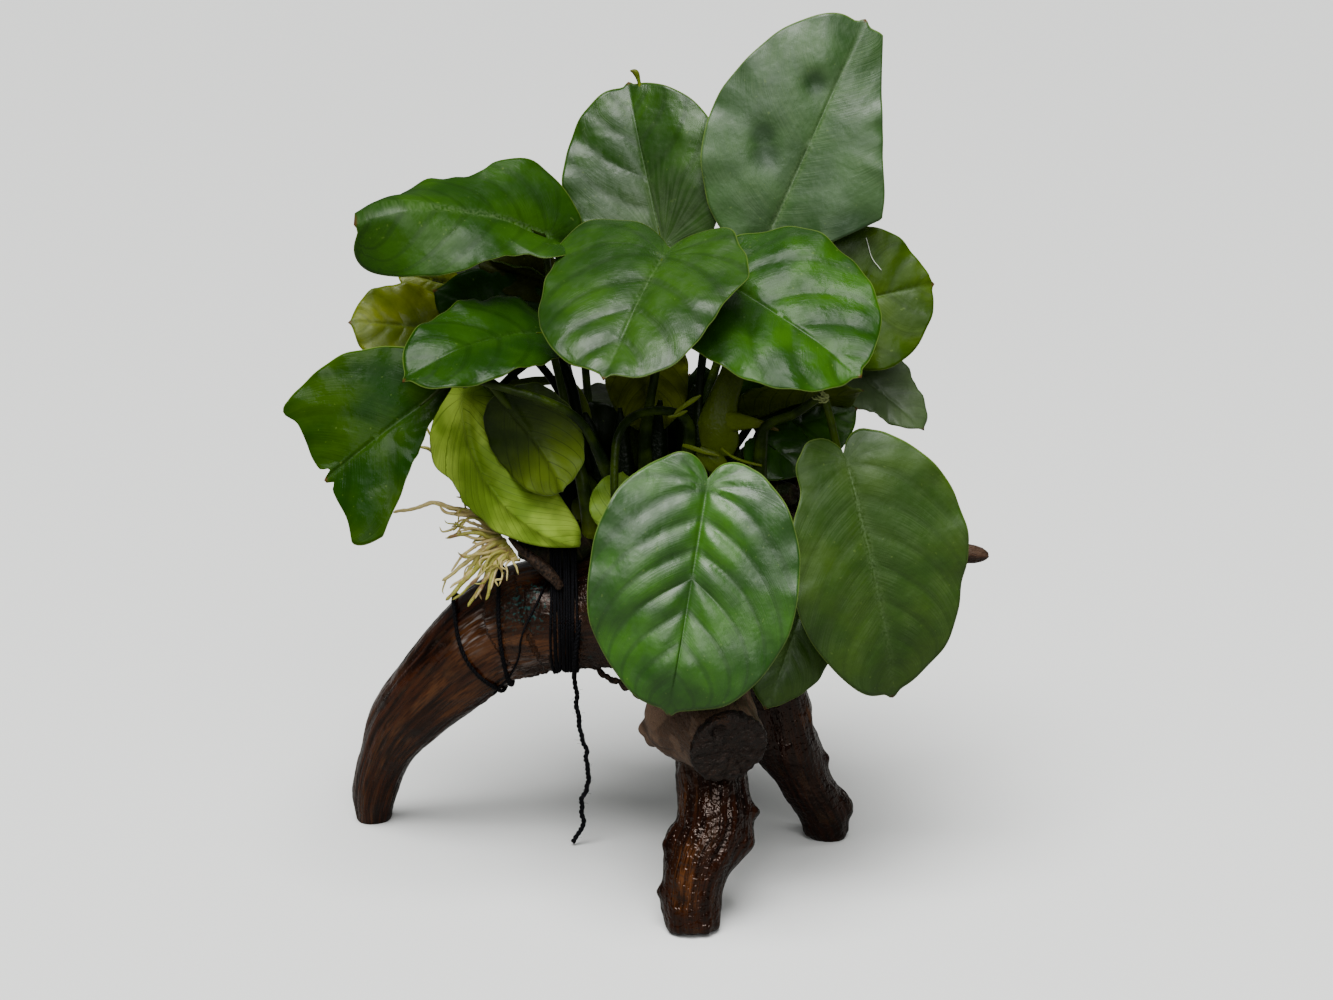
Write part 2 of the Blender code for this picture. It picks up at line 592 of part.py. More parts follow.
def sections_near(solids, at, width):
    """The outlines, in Y and Z of the plan, of all the solids within half a width of an X."""
    found = []
    graph = bpy.context.evaluated_depsgraph_get()
    for solid in solids:
        mesh = solid.evaluated_get(graph).to_mesh()
        shape = bmesh.new()
        shape.from_mesh(mesh)
        for x in (at - width / 2, at, at + width / 2):
            cut = bmesh.ops.bisect_plane(
                shape, geom=shape.verts[:] + shape.edges[:] + shape.faces[:],
                plane_co=(x - ORIGIN_IN_PLAN.x, 0, 0), plane_no=(1, 0, 0))
            for item in cut["geom_cut"]:
                if isinstance(item, bmesh.types.BMVert):
                    found.append((item.co.y + ORIGIN_IN_PLAN.y, item.co.z + ORIGIN_IN_PLAN.z))
        shape.free()
    return hull_2d(found)


def loop_outline(outline, count, off):
    """So many points at even distances round an outline, pushed out from it by a distance."""
    corners = [Vector((0, y, z)) for y, z in outline]
    path = evened([*corners, corners[0]], count + 1)[:-1]
    pushed = []
    for i, point in enumerate(path):
        ahead = (path[(i + 1) % count] - path[i - 1]).normalized()
        out = Vector((0, ahead.z, -ahead.y))
        pushed.append(point + out * off)
    return pushed


def thread_band(solids, finish):
    """The windings beside each other: a flat ring round the wood and the rhizome."""
    outline = sections_near(solids, BAND_AT, BAND_WIDTH)
    inner = loop_outline(outline, BAND_POINTS, WIND_GAP)
    outer = loop_outline(outline, BAND_POINTS, WIND_GAP + BAND_THICKNESS)
    points = []
    for side in (-BAND_WIDTH / 2, BAND_WIDTH / 2):
        for ring in (inner, outer):
            points += [p + Vector((BAND_AT + side, 0, 0)) for p in ring]
    n = BAND_POINTS
    faces = []
    for i in range(n):
        j = (i + 1) % n
        faces.append((i, j, n + j, n + i))
        faces.append((2 * n + i, 3 * n + i, 3 * n + j, 2 * n + j))
        faces.append((i, 2 * n + i, 2 * n + j, j))
        faces.append((n + i, n + j, 3 * n + j, 3 * n + i))
    return new_object("thread_band", points, faces, finish)


# Two single turns of the thread go round the left arm. Each lies in a plane that holds the viewer's
# line of sight; the plane is given by where it crosses the top and the underside of the arm.
LOOPS = {
    "thread_loop_a": ((-0.0556, 0.0675), (-0.0447, 0.0462)),
    "thread_loop_b": ((-0.0436, 0.0748), (-0.0414, 0.0475)),
}
LOOP_POINTS = 20
LOOP_SIDES = 5


def closed_tube(name, path, radius, finish):
    """A ring: a tube whose end meets its start."""
    count = len(path)
    middle = sum(path, Vector()) / count
    points, faces = [], []
    for i, point in enumerate(path):
        ahead = (path[(i + 1) % count] - path[i - 1]).normalized()
        out = (point - middle).normalized()
        out = (out - ahead * out.dot(ahead)).normalized()
        side = ahead.cross(out)
        for k in range(LOOP_SIDES):
            angle = 2 * pi * k / LOOP_SIDES
            points.append(point + (out * cos(angle) + side * sin(angle)) * radius)
            a, b = i * LOOP_SIDES + k, i * LOOP_SIDES + (k + 1) % LOOP_SIDES
            ahead_of = LOOP_SIDES if i < count - 1 else LOOP_SIDES - count * LOOP_SIDES
            faces.append((a, b, b + ahead_of, a + ahead_of))
    return new_object(name, points, faces, finish)


def thread_loops(arm, finish):
    """Closed rings of thread that follow the arm's own section, a gap off its bark."""
    graph = bpy.context.evaluated_depsgraph_get()
    mesh = arm.evaluated_get(graph).to_mesh()
    for name, (top, low) in LOOPS.items():
        above, below = Vector((top[0], 0.0, top[1])), Vector((low[0], 0.0, low[1]))
        down = (below - above).normalized()
        across = Vector((0, 1, 0))
        shape = bmesh.new()
        shape.from_mesh(mesh)
        cut = bmesh.ops.bisect_plane(
            shape, geom=shape.verts[:] + shape.edges[:] + shape.faces[:],
            plane_co=above - ORIGIN_IN_PLAN, plane_no=down.cross(across))
        found = []
        for item in cut["geom_cut"]:
            if isinstance(item, bmesh.types.BMVert):
                spot = item.co + ORIGIN_IN_PLAN - above
                found.append((spot.dot(across), -spot.dot(down)))
        shape.free()
        ring = loop_outline(hull_2d(found), LOOP_POINTS, THREAD + WIND_GAP)
        closed_tube(name, [above + across * p.y - down * p.z for p in ring], THREAD, finish)


# The loose end of the thread hangs from the band to the floor.
TAIL_ROUTE = (
    (-0.0243, -0.0035, 0.0492), (-0.0236, -0.0040, 0.0440), (-0.0228, -0.0040, 0.0380),
    (-0.0222, -0.0035, 0.0330), (-0.0214, -0.0025, 0.0270), (-0.0210, -0.0015, 0.0220),
    (-0.0214, -0.0005, 0.0175), (-0.0228, 0.0000, 0.0130), (-0.0226, 0.0005, 0.0085),
    (-0.0232, 0.0010, 0.0045), (-0.0254, 0.0012, 0.0010),
)
TAIL_POINTS = 16


def thread_tail(finish):
    """The hanging end, as a curve with its true thickness."""
    curve = bpy.data.curves.new("thread_tail", "CURVE")
    curve.dimensions = "3D"
    curve.bevel_depth = THREAD
    curve.bevel_resolution = 2
    curve.use_fill_caps = True
    path = evened(smooth_path([Vector(p) for p in TAIL_ROUTE], 6), TAIL_POINTS)
    spline = curve.splines.new("POLY")
    spline.points.add(len(path) - 1)
    for slot, point in zip(spline.points, path):
        slot.co = (*(point - ORIGIN_IN_PLAN), 1.0)
    curve.materials.append(finish)
    made = bpy.data.objects.new("thread_tail", curve)
    bpy.context.scene.collection.objects.link(made)
    return made


def clear_scene():
    """Removes what Blender's start scene holds."""
    for old in list(bpy.data.objects):
        bpy.data.objects.remove(old)


def main():
    """Builds the whole object."""
    clear_scene()
    wood = material("wet driftwood", (0.045, 0.022, 0.014), 0.30)
    leaf_green = material("leaf green", (0.035, 0.120, 0.022), 0.32)
    stalk_green = material("stalk green", (0.060, 0.110, 0.025), 0.40)
    stem = material("rhizome", (0.080, 0.075, 0.030), 0.55)
    root_skin = material("root skin", (0.52, 0.44, 0.20), 0.50)
    thread = material("black thread", (0.012, 0.012, 0.014), 0.85)
    crown, arm = driftwood(wood)
    creeping_stem = rhizome(stem)
    roots(root_skin)
    thread_band((crown, arm, creeping_stem), thread)
    thread_loops(arm, thread)
    thread_tail(thread)
    for item in LEAVES:
        blade(item, leaf_green)
        stalk(item, stalk_green)


main()
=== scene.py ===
"""Looks of a creeping water plant with heart-shaped leaves, tied to wet driftwood on three legs.

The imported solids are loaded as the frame. Places are given in the plan that the solids were laid
out in, whose origin lies on the floor under the fork of the wood. The viewer stands at -Y. Tables
of places are in tenths of a millimetre, and all other lengths are in metres.
"""

from collections import namedtuple
from math import cos, pi, radians, sin

import bpy
import numpy as np
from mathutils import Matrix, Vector, noise


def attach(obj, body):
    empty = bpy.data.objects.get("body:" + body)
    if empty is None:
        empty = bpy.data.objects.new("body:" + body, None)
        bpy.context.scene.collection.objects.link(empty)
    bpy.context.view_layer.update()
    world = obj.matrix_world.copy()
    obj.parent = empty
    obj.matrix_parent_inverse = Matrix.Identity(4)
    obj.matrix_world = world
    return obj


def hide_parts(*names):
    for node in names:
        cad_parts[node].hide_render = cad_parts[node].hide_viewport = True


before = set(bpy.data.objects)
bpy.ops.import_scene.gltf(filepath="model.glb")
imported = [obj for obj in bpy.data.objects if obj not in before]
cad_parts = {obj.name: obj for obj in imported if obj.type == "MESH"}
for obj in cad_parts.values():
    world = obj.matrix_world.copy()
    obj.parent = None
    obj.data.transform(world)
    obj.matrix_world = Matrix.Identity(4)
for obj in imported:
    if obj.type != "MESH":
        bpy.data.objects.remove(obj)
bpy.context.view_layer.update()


# The camera stands a little above the plant and looks slightly down at it, from as far away as the
# converging lines of the wood and the floor tell.
ORIGIN_IN_PLAN = np.array((-0.0026, 0.0006, 0.0))
VIEW_MIDDLE = np.array((0.0, 0.0, 0.0967))
VIEW_DISTANCE = 0.600
VIEW_ELEVATION = radians(14)
FRAME_WIDTH_PX = 1333
FOCAL_LENGTH_PX = 2308
SENSOR_WIDTH_MM = 36.0

lens = bpy.data.cameras.new("camera")
lens.sensor_width = SENSOR_WIDTH_MM
lens.lens = SENSOR_WIDTH_MM * FOCAL_LENGTH_PX / FRAME_WIDTH_PX
lens.clip_start = 0.01
camera = bpy.data.objects.new("camera", lens)
away = np.array((0.0, -cos(VIEW_ELEVATION), sin(VIEW_ELEVATION))) * VIEW_DISTANCE
camera.location = VIEW_MIDDLE - ORIGIN_IN_PLAN + away
camera.rotation_euler = (pi / 2 - VIEW_ELEVATION, 0.0, 0.0)
bpy.context.scene.collection.objects.link(camera)
bpy.context.scene.camera = camera


# The stage is a plain white floor under a pale sky. What the camera sees of the sky is bright, and
# what lights the plant is dimmer, so that its dark parts stay dark. A broad soft sun stands high in
# front, and a wide panel hangs lower in front; the leaves mirror both as a haze.
FLOOR_RADIUS = 25.0
FLOOR_COLOUR = (0.84, 0.85, 0.83, 1.0)
FLOOR_BOUNCE = (0.18, 0.18, 0.17, 1.0)
SKY_COLOUR = (0.97, 1.00, 0.99, 1.0)
SKY_SEEN = 1.35
SKY_STRENGTH = 0.12
SUN_STRENGTH = 6.0
SUN_WIDTH = radians(42)
SUN_AIM = (0.12, 0.36, -1.0)
PANEL_PLACE = (0.16, -1.25, 0.90)
PANEL_TARGET = (0.0, 0.0, 0.10)
PANEL_WIDTH = 0.80
PANEL_POWER = 10.0


def metres(tenths):
    """Numbers of a table in tenths of a millimetre, in metres."""
    return np.array(tenths) / 10000


def widened(route):
    """A route of places in tenths of a millimetre, each with a half width in millimetres."""
    return np.array(route) / (10000, 10000, 10000, 1)


def add(tree, kind, inputs=None, **settings):
    """A node with its settings. Each input takes a number, a colour or another node's output."""
    made = tree.nodes.new(kind)
    for name, value in settings.items():
        setattr(made, name, value)
    for name, value in (inputs or {}).items():
        if isinstance(value, bpy.types.NodeSocket):
            tree.links.new(value, made.inputs[name])
        else:
            made.inputs[name].default_value = value
    return made


def finish(name, roughness, **sockets):
    """A new material with one Principled BSDF, whose plain numbers are set on its own sockets."""
    made = bpy.data.materials.new(name)
    made.use_nodes = True
    surface = made.node_tree.nodes["Principled BSDF"]
    surface.inputs["Roughness"].default_value = roughness
    for socket, value in sockets.items():
        surface.inputs[socket.replace("_", " ")].default_value = value
    return made, made.node_tree, surface


floor_mesh = bpy.data.meshes.new("floor")
around = [2 * pi * i / 64 for i in range(64)]
floor_mesh.from_pydata([(FLOOR_RADIUS * cos(a), FLOOR_RADIUS * sin(a), 0.0) for a in around], [],
                       [tuple(range(64))])
floor = bpy.data.objects.new("floor", floor_mesh)
bpy.context.scene.collection.objects.link(floor)
floor_finish, floor_tree, floor_surface = finish("pale floor", 0.60)
floor_seen = add(floor_tree, "ShaderNodeLightPath").outputs["Is Camera Ray"]
floor_mix = add(floor_tree, "ShaderNodeMix", {
    0: floor_seen, 6: FLOOR_BOUNCE, 7: FLOOR_COLOUR}, data_type="RGBA")
floor_tree.links.new(floor_mix.outputs[2], floor_surface.inputs["Base Color"])
floor_mesh.materials.append(floor_finish)

sky = bpy.data.worlds.new("pale sky")
sky.use_nodes = True
sky_seen = add(sky.node_tree, "ShaderNodeLightPath").outputs["Is Camera Ray"]
brightness = add(sky.node_tree, "ShaderNodeMapRange", {
    "Value": sky_seen, "To Min": SKY_STRENGTH, "To Max": SKY_SEEN})
background = sky.node_tree.nodes["Background"]
background.inputs["Color"].default_value = SKY_COLOUR
sky.node_tree.links.new(brightness.outputs["Result"], background.inputs["Strength"])
bpy.context.scene.world = sky

sunlight = bpy.data.lights.new("sun", "SUN")
sunlight.energy = SUN_STRENGTH
sunlight.angle = SUN_WIDTH
sun = bpy.data.objects.new("sun", sunlight)
sun.rotation_euler = Vector(SUN_AIM).to_track_quat("-Z", "Y").to_euler()
bpy.context.scene.collection.objects.link(sun)

glow = bpy.data.lights.new("panel", "AREA")
glow.energy = PANEL_POWER
glow.size = PANEL_WIDTH
panel = bpy.data.objects.new("panel", glow)
panel.location = PANEL_PLACE
panel_aim = Vector(PANEL_TARGET) - Vector(PANEL_PLACE)
panel.rotation_euler = panel_aim.to_track_quat("-Z", "Y").to_euler()
panel.visible_camera = False
bpy.context.scene.collection.objects.link(panel)


# The loose end of the black cotton thread hangs from the windings down to the floor. It is a soft
# yarn of two plies that has kept a few kinks, with short fibres standing off it.
THREAD_WIDTH = 0.0013
THREAD_END = 0.0510
TAIL_ROUTE = metres((
    (-243, -35, 492), (-236, -40, 440), (-228, -40, 380), (-222, -35, 330), (-214, -25, 270),
    (-210, -15, 220), (-214, -5, 175), (-228, 0, 130), (-226, 5, 85), (-232, 10, 45),
    (-254, 12, 10),
))
TAIL_LEAD = metres((
    (-222, -155, 690), (-228, -158, 650), (-236, -138, 575), (-241, -85, 518), (-243, -35, 492),
))
TAIL_STEP = 0.00022
TAIL_FIBRES = 60
LEAD_POINTS = 90
FIBRE_RADIUS = 0.00003
PLY_PITCH = 2.1
PLY_OFFSET = 0.20
PLY_RADIUS = 0.36
PLY_SIDES = 6
THREAD_BLACK = (0.0010, 0.0010, 0.0018, 1.0)
THREAD_GREY = (0.0070, 0.0070, 0.0110, 1.0)


def smooth_path(knots, steps=8):
    """Points along a smooth curve through the knots, with so many steps between each two."""
    knots = np.array(knots, dtype=float)
    ends = np.vstack((2 * knots[0] - knots[1], knots, 2 * knots[-1] - knots[-2]))
    t = np.arange(steps)[:, None] / steps
    path = []
    for a, b, c, d in zip(ends, ends[1:], ends[2:], ends[3:]):
        path.append(0.5 * (2 * b + (c - a) * t + (2 * a - 5 * b + 4 * c - d) * t**2
                           + (3 * b - a - 3 * c + d) * t**3))
    return np.vstack((*path, knots[-1:]))


def measured(path):
    """How far along the path each of its points is."""
    steps = np.linalg.norm(np.diff(path[:, :3], axis=0), axis=1)
    return np.concatenate(([0.0], np.cumsum(steps)))


def evened(path, count):
    """The path again, with its radii if it has any, as so many points at even distances."""
    lengths = measured(path)
    want = np.linspace(0.0, lengths[-1], count)
    return np.column_stack([np.interp(want, lengths, column) for column in path.T])


def unit(vectors):
    """The vectors, each with length one."""
    return vectors / np.maximum(np.linalg.norm(vectors, axis=-1, keepdims=True), 1e-12)


def rails(path, up=(0.2, 1.0, 0.3)):
    """At each point of the path, its direction and two directions square to it that never twist."""
    ahead = unit(np.gradient(path, axis=0))
    side = np.zeros_like(path)
    side[0] = unit(np.cross(ahead[0], up))
    for i in range(1, len(path)):
        side[i] = unit(side[i - 1] - ahead[i] * side[i - 1].dot(ahead[i]))
    return ahead, side, np.cross(ahead, side)


def tube(path, radii, sides, up=(0.2, 1.0, 0.3)):
    """The points and faces of a closed tube. radii has one for each point, or for each side too."""
    _, side, over = rails(path, up)
    angle = 2 * pi * np.arange(sides) / sides
    ring = side[:, None] * np.cos(angle)[:, None] + over[:, None] * np.sin(angle)[:, None]
    radii = np.asarray(radii, dtype=float)
    radii = radii if radii.ndim == 2 else np.repeat(radii[:, None], sides, axis=1)
    points = (path[:, None] + ring * radii[:, :, None]).reshape(-1, 3)
    rows = np.arange(len(path) - 1)[:, None] * sides
    here = rows + np.arange(sides)
    beside = rows + (np.arange(sides) + 1) % sides
    faces = np.stack((here, beside, beside + sides, here + sides), axis=-1).reshape(-1, 4).tolist()
    last = (len(path) - 1) * sides
    faces.append(list(reversed(range(sides))))
    faces.append([last + k for k in range(sides)])
    return points, faces


def joined(parts):
    """The points and faces of several parts as one."""
    points, faces, count = [], [], 0
    for part_points, part_faces in parts:
        points.append(part_points)
        faces += [[i + count for i in face] for face in part_faces]
        count += len(part_points)
    return np.vstack(points), faces


def piece(name, points, faces, finishes, slot, covers=(), marks=None, face_finish=None):
    """An object in the frame from points of the plan. marks are numbers that its finish reads."""
    mesh = bpy.data.meshes.new(name)
    mesh.from_pydata((points - ORIGIN_IN_PLAN).tolist(), [], faces)
    mesh.update()
    for label, values in (marks or {}).items():
        values = np.asarray(values, dtype=np.float32)
        layer = mesh.attributes.new(label, "FLOAT" if values.ndim == 1 else "FLOAT_VECTOR", "POINT")
        layer.data.foreach_set("value" if values.ndim == 1 else "vector", values.ravel())
    for material in finishes:
        mesh.materials.append(material)
    if face_finish is not None:
        mesh.polygons.foreach_set("material_index", np.asarray(face_finish, dtype=np.int32))
    mesh.shade_smooth()
    made = bpy.data.objects.new(name, mesh)
    bpy.context.scene.collection.objects.link(made)
    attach(made, "root")
    if covers:
        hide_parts(*covers)
    return made


def hump(x):
    """A smooth hump: 1 where x is 0, falling away on both sides."""
    return np.exp(-(x**2))


def cloud(points, scale, seed):
    """Noise from -1 to 1 at each point."""
    spots = points * scale + seed
    return np.array([noise.noise(spot) for spot in spots.tolist()])


def yarn(path, width, seed):
    """Two plies twisted round each other along a path, each a little uneven."""
    lengths = measured(path)
    _, side, over = rails(path)
    parts = []
    for ply in range(2):
        turn = 2 * pi * lengths / (width * PLY_PITCH) + pi * ply
        offset = side * np.cos(turn)[:, None] + over * np.sin(turn)[:, None]
        uneven = [noise.noise((s / width * 0.9, ply * 7.0, seed)) for s in lengths]
        radii = width * PLY_RADIUS * (1 + 0.16 * np.array(uneven))
        radii[0] *= 0.6
        radii[-1] *= 0.6
        parts.append(tube(path + offset * width * PLY_OFFSET, radii, PLY_SIDES))
    return parts


def fuzz(path, width, count, rng):
    """Short fibres that stand off a yarn."""
    parts = []
    for _ in range(count):
        spot = path[rng.integers(2, len(path) - 2)]
        out = unit(rng.normal(size=3))
        length = width * rng.uniform(0.5, 1.2)
        sway = unit(rng.normal(size=3)) * length * 0.4
        knots = (spot + out * width * 0.3, spot + out * (width * 0.4 + length * 0.5) + sway * 0.3,
                 spot + out * (width * 0.4 + length) + sway)
        parts.append(tube(smooth_path(knots, 3), np.full(7, FIBRE_RADIUS), 3))
    return parts


def mask(tree, vector, scale, low, high, detail=3.0):
    """A patchy mask from 0 to 1 that follows a vector: noise, cut between two levels."""
    group = bpy.data.node_groups.get("patches")
    if group is None:
        group = bpy.data.node_groups.new("patches", "ShaderNodeTree")
        for label, kind in (("Vector", "NodeSocketVector"), ("Scale", "NodeSocketFloat"),
                            ("Low", "NodeSocketFloat"), ("High", "NodeSocketFloat"),
                            ("Detail", "NodeSocketFloat")):
            group.interface.new_socket(label, in_out="INPUT", socket_type=kind)
        group.interface.new_socket("Mask", in_out="OUTPUT", socket_type="NodeSocketFloat")
        given = group.nodes.new("NodeGroupInput").outputs
        cloud = add(group, "ShaderNodeTexNoise", {
            "Vector": given["Vector"], "Scale": given["Scale"], "Detail": given["Detail"]})
        cut = add(group, "ShaderNodeMapRange", {
            "Value": cloud.outputs["Fac"], "From Min": given["Low"], "From Max": given["High"]},
            interpolation_type="SMOOTHSTEP")
        made = group.nodes.new("NodeGroupOutput")
        group.links.new(cut.outputs["Result"], made.inputs["Mask"])
    placed = tree.nodes.new("ShaderNodeGroup")
    placed.node_tree = group
    tree.links.new(vector, placed.inputs["Vector"])
    for label, value in (("Scale", scale), ("Low", low), ("High", high), ("Detail", detail)):
        placed.inputs[label].default_value = value
    return placed.outputs["Mask"]


def blend(tree, factor, first, second):
    """The first colour where the factor is 0, and the second where it is 1."""
    mixed = add(tree, "ShaderNodeMix", {0: factor, 6: first, 7: second}, data_type="RGBA")
    return mixed.outputs[2]


def mark(tree, name, output="Fac"):
    """A number or a vector that was marked on each point of the piece."""
    return add(tree, "ShaderNodeAttribute", attribute_name=name).outputs[output]


def on_object(tree):
    """The place on the object."""
    return add(tree, "ShaderNodeTexCoord").outputs["Object"]


def arithmetic(tree, operation, first, second=0.0):
    """The outcome of one operation on two numbers or outputs."""
    made = add(tree, "ShaderNodeMath", {0: first, 1: second}, operation=operation)
    return made.outputs[0]


def times(tree, first, second):
    """The product of two numbers or outputs."""
    return arithmetic(tree, "MULTIPLY", first, second)


def plus(tree, first, second):
    """The sum of two numbers or outputs."""
    return arithmetic(tree, "ADD", first, second)


def ramp(tree, value, low, high, to_low=0.0, to_high=1.0):
    """The value, stretched smoothly from between two levels to between two others."""
    made = add(tree, "ShaderNodeMapRange", {
        "Value": value, "From Min": low, "From Max": high, "To Min": to_low, "To Max": to_high},
        interpolation_type="SMOOTHSTEP")
    return made.outputs["Result"]


def bumped(tree, surface, height, distance, strength=1.0):
    """Raises the surface by a height of 0 to 1, times a distance in metres."""
    bump = add(tree, "ShaderNodeBump", {
        "Height": height, "Distance": distance, "Strength": strength})
    tree.links.new(bump.outputs["Normal"], surface.inputs["Normal"])


def thread_finish():
    """Black cotton: dull, with a faint grey sheen painted where the plies stand up."""
    made, tree, surface = finish("black cotton", 0.70, Specular_IOR_Level=0.15)
    place = on_object(tree)
    # Grey patches of lint and painted sheen on the black cotton.
    lint_and_sheen = mask(tree, place, 2600.0, 0.45, 0.75)
    tree.links.new(blend(tree, lint_and_sheen, THREAD_BLACK, THREAD_GREY), surface.inputs["Base Color"])
    bumped(tree, surface, lint_and_sheen, 0.00006)
    return made


black_cotton = thread_finish()
rng = np.random.default_rng(5)
tail_path = evened(smooth_path(TAIL_ROUTE), round(THREAD_END / TAIL_STEP))
kinks = np.column_stack([cloud(tail_path, 330.0, seed) for seed in (2.0, 5.0, 9.0)])
tail_path += kinks * (0.0007, 0.0005, 0.0) * np.clip(np.arange(len(tail_path)) / 30, 0, 1)[:, None]
tail = piece("thread_loose_end", *joined(yarn(tail_path, THREAD_WIDTH, 1.0)), [black_cotton],
             "thread", ["thread_tail"])
tail_fuzz = piece("thread_loose_fibres", *joined(fuzz(tail_path, THREAD_WIDTH, TAIL_FIBRES, rng)),
                  [black_cotton], "thread")
lead_path = evened(smooth_path(TAIL_LEAD), LEAD_POINTS)
piece("thread_over_the_bark", *joined(yarn(lead_path, THREAD_WIDTH, 4.0)), [black_cotton], "thread")


# The driftwood is one branching piece of bog wood: a thick crown, a long curved arm to the left, a
# front leg, a right leg, a short broken stub and a thin twig. It is grown here from the routes of
# its limbs as one skin, then grooved along the grain, knotted, and worn ragged underneath.
CROWN = metres((
    (-370, 20, 640, 146, 148), (-315, 14, 656, 148, 151), (-250, 10, 660, 150, 154),
    (-120, 0, 690, 160, 185), (40, -30, 720, 175, 210), (190, -20, 760, 165, 200),
    (290, 10, 850, 130, 150), (330, 30, 960, 85, 95), (345, 35, 1030, 45, 50),
))
LEFT_ARM = metres((
    (-250, 10, 660, 148, 148), (-318, 14, 656, 150, 150), (-410, 40, 618, 146, 146),
    (-498, 60, 556, 134, 134), (-636, 100, 413, 113, 113), (-727, 140, 297, 92, 92),
    (-777, 170, 196, 72, 72), (-810, 195, 80, 60, 60), (-818, 215, 0, 50, 50),
))
FRONT_LEG = metres((
    (90, -80, 660, 70, 70), (95, -190, 560, 90, 90), (108, -330, 420, 90, 90),
    (117, -420, 290, 88, 88), (112, -455, 225, 88, 88), (85, -480, 175, 83, 83),
    (71, -500, 120, 76, 76), (65, -510, 60, 73, 73), (66, -520, 0, 70, 70),
))
STUB = metres((
    (60, -80, 660, 90, 90), (70, -200, 610, 120, 120), (92, -330, 560, 114, 114),
    (125, -450, 510, 102, 102), (155, -550, 480, 97, 97),
))
RIGHT_LEG = metres((
    (230, -10, 660, 78, 78), (258, -15, 540, 86, 86), (294, -10, 430, 80, 80),
    (330, 10, 290, 80, 80), (368, 35, 190, 70, 70), (422, 70, 80, 68, 68), (450, 95, 0, 55, 55),
))
TWIG = metres((
    (290, 20, 860, 50, 50), (430, 45, 860, 52, 52), (580, 80, 840, 40, 40),
    (720, 100, 810, 31, 31), (820, 115, 790, 24, 24), (862, 120, 783, 13, 13),
))
# Each limb: its route, the seed of its unevenness, how uneven it is, and its bosses (share of the
# length, degrees round, height, share of the length it reaches, degrees wide).
LIMBS = (
    (CROWN, 3.0, 0.12, ((0.45, 200, 0.16, 0.10, 40), (0.70, 20, 0.14, 0.08, 35))),
    (LEFT_ARM, 8.0, 0.05, ()),
    (FRONT_LEG, 21.0, 0.06, ((0.76, 185, 0.20, 0.05, 30), (0.64, 0, 0.14, 0.06, 34),
                             (0.76, 5, 0.12, 0.05, 28), (0.90, 190, 0.14, 0.05, 30))),
    (STUB, 12.0, 0.08, ((0.66, 185, 0.66, 0.18, 32),)),
    (RIGHT_LEG, 30.0, 0.08, ((0.56, 175, 0.20, 0.10, 40), (0.88, 0, 0.34, 0.05, 30),
                             (0.66, 350, 0.16, 0.06, 30))),
    (TWIG, 40.0, 0.08, ()),
)
LIMB_SIDES = 40
LIMB_STEP = 0.0012
SKIN_VOXEL = 0.00062
ROUTE_STEP = 0.002
LIMB_GIRTH = 0.011
# The stub's place among the limbs, and how far along it its broken end begins.
STUB_NUMBER = 3
STUB_END = 0.0492
# The ragged underside: where along the arm it is, how far it reaches, and from what height up.
WORN_MIDDLE = -0.026
WORN_REACH = 0.024
WORN_FLOOR = 0.034
GROOVE_EDGE = 0.18
GROOVE_DEPTH = 0.00030
RIDGE_HEIGHT = 0.00042
LUMP_HEIGHT = 0.00060
PIMPLE_HEIGHT = 0.00022
CRUMB_HEIGHT = 0.0011
END_ROUGHNESS = 0.0005
CRACK_DEPTH = 0.0004
CRACK_WIDTH = 0.05
FOOT_EASE = 0.0015
# Knots, broken-off spurs (positive) and holes (negative): the place, its radius, and its height.
KNOTS = metres((
    (-20, -495, 214, 20, 36), (-9, -515, 98, 18, 16), (212, -440, 277, 16, 19),
    (200, -480, 214, 28, 16), (33, -580, 100, 24, -8), (441, 20, 251, 16, 16),
    (385, 0, 358, 14, -16), (311, -60, 281, 34, 12), (522, 80, 67, 20, 22), (385, 60, 26, 16, 8),
    (-66, -360, 464, 20, 34), (-45, -380, 432, 17, 26), (127, -580, 535, 19, -18),
    (180, -570, 470, 30, -8), (98, -562, 542, 11, -12), (154, -580, 518, 12, -12),
    (-213, -150, 700, 16, -9), (299, -150, 880, 28, -16), (-80, -190, 760, 24, 10),
    (100, 180, 760, 32, 14), (-420, 180, 640, 26, 10), (230, 150, 640, 26, 12),
))
WOOD_BLACK = (0.0026, 0.0006, 0.0002, 1.0)
WOOD_BROWN = (0.0380, 0.0090, 0.0020, 1.0)
WOOD_AMBER = (0.086, 0.029, 0.0080, 1.0)
WOOD_TAN = (0.110, 0.062, 0.028, 1.0)
WOOD_BARK = (0.160, 0.098, 0.062, 1.0)
WOOD_STAIN = (0.008, 0.045, 0.042, 1.0)
WOOD_DULL = (0.0090, 0.0086, 0.0078, 1.0)
WOOD_FILM_AND_SHEEN = (0.260, 0.230, 0.210, 1.0)
# Of each limb: how pitted it is, how much pale bark it has kept, how brown it is, and how wet.
LIMB_SKIN = (
    (0.60, 0.10, 0.50, 0.50), (0.15, 0.00, 1.00, 0.90), (1.00, 0.00, 0.45, 1.00),
    (0.50, 1.10, 0.60, 0.10), (0.80, 0.00, 0.45, 0.95), (0.40, 0.30, 0.60, 0.20),
)
SKIN_ROUNDS = 60
# Where amber wood shows through: the place and how far it reaches.
AMBERS = metres((
    (43, -433, 385, 45), (48, -464, 318, 45), (36, -530, 213, 35), (40, -564, 149, 30),
    (43, -570, 99, 30), (133, -579, 568, 26), (368, -52, 390, 30), (-512, -75, 610, 60),
    (-586, -27, 428, 70), (-700, 40, 250, 60), (-365, -130, 610, 85), (-290, -142, 640, 75),
    (-404, -14, 776, 60), (-354, -57, 781, 50), (-381, 40, 789, 50), (-446, -92, 574, 50),
))
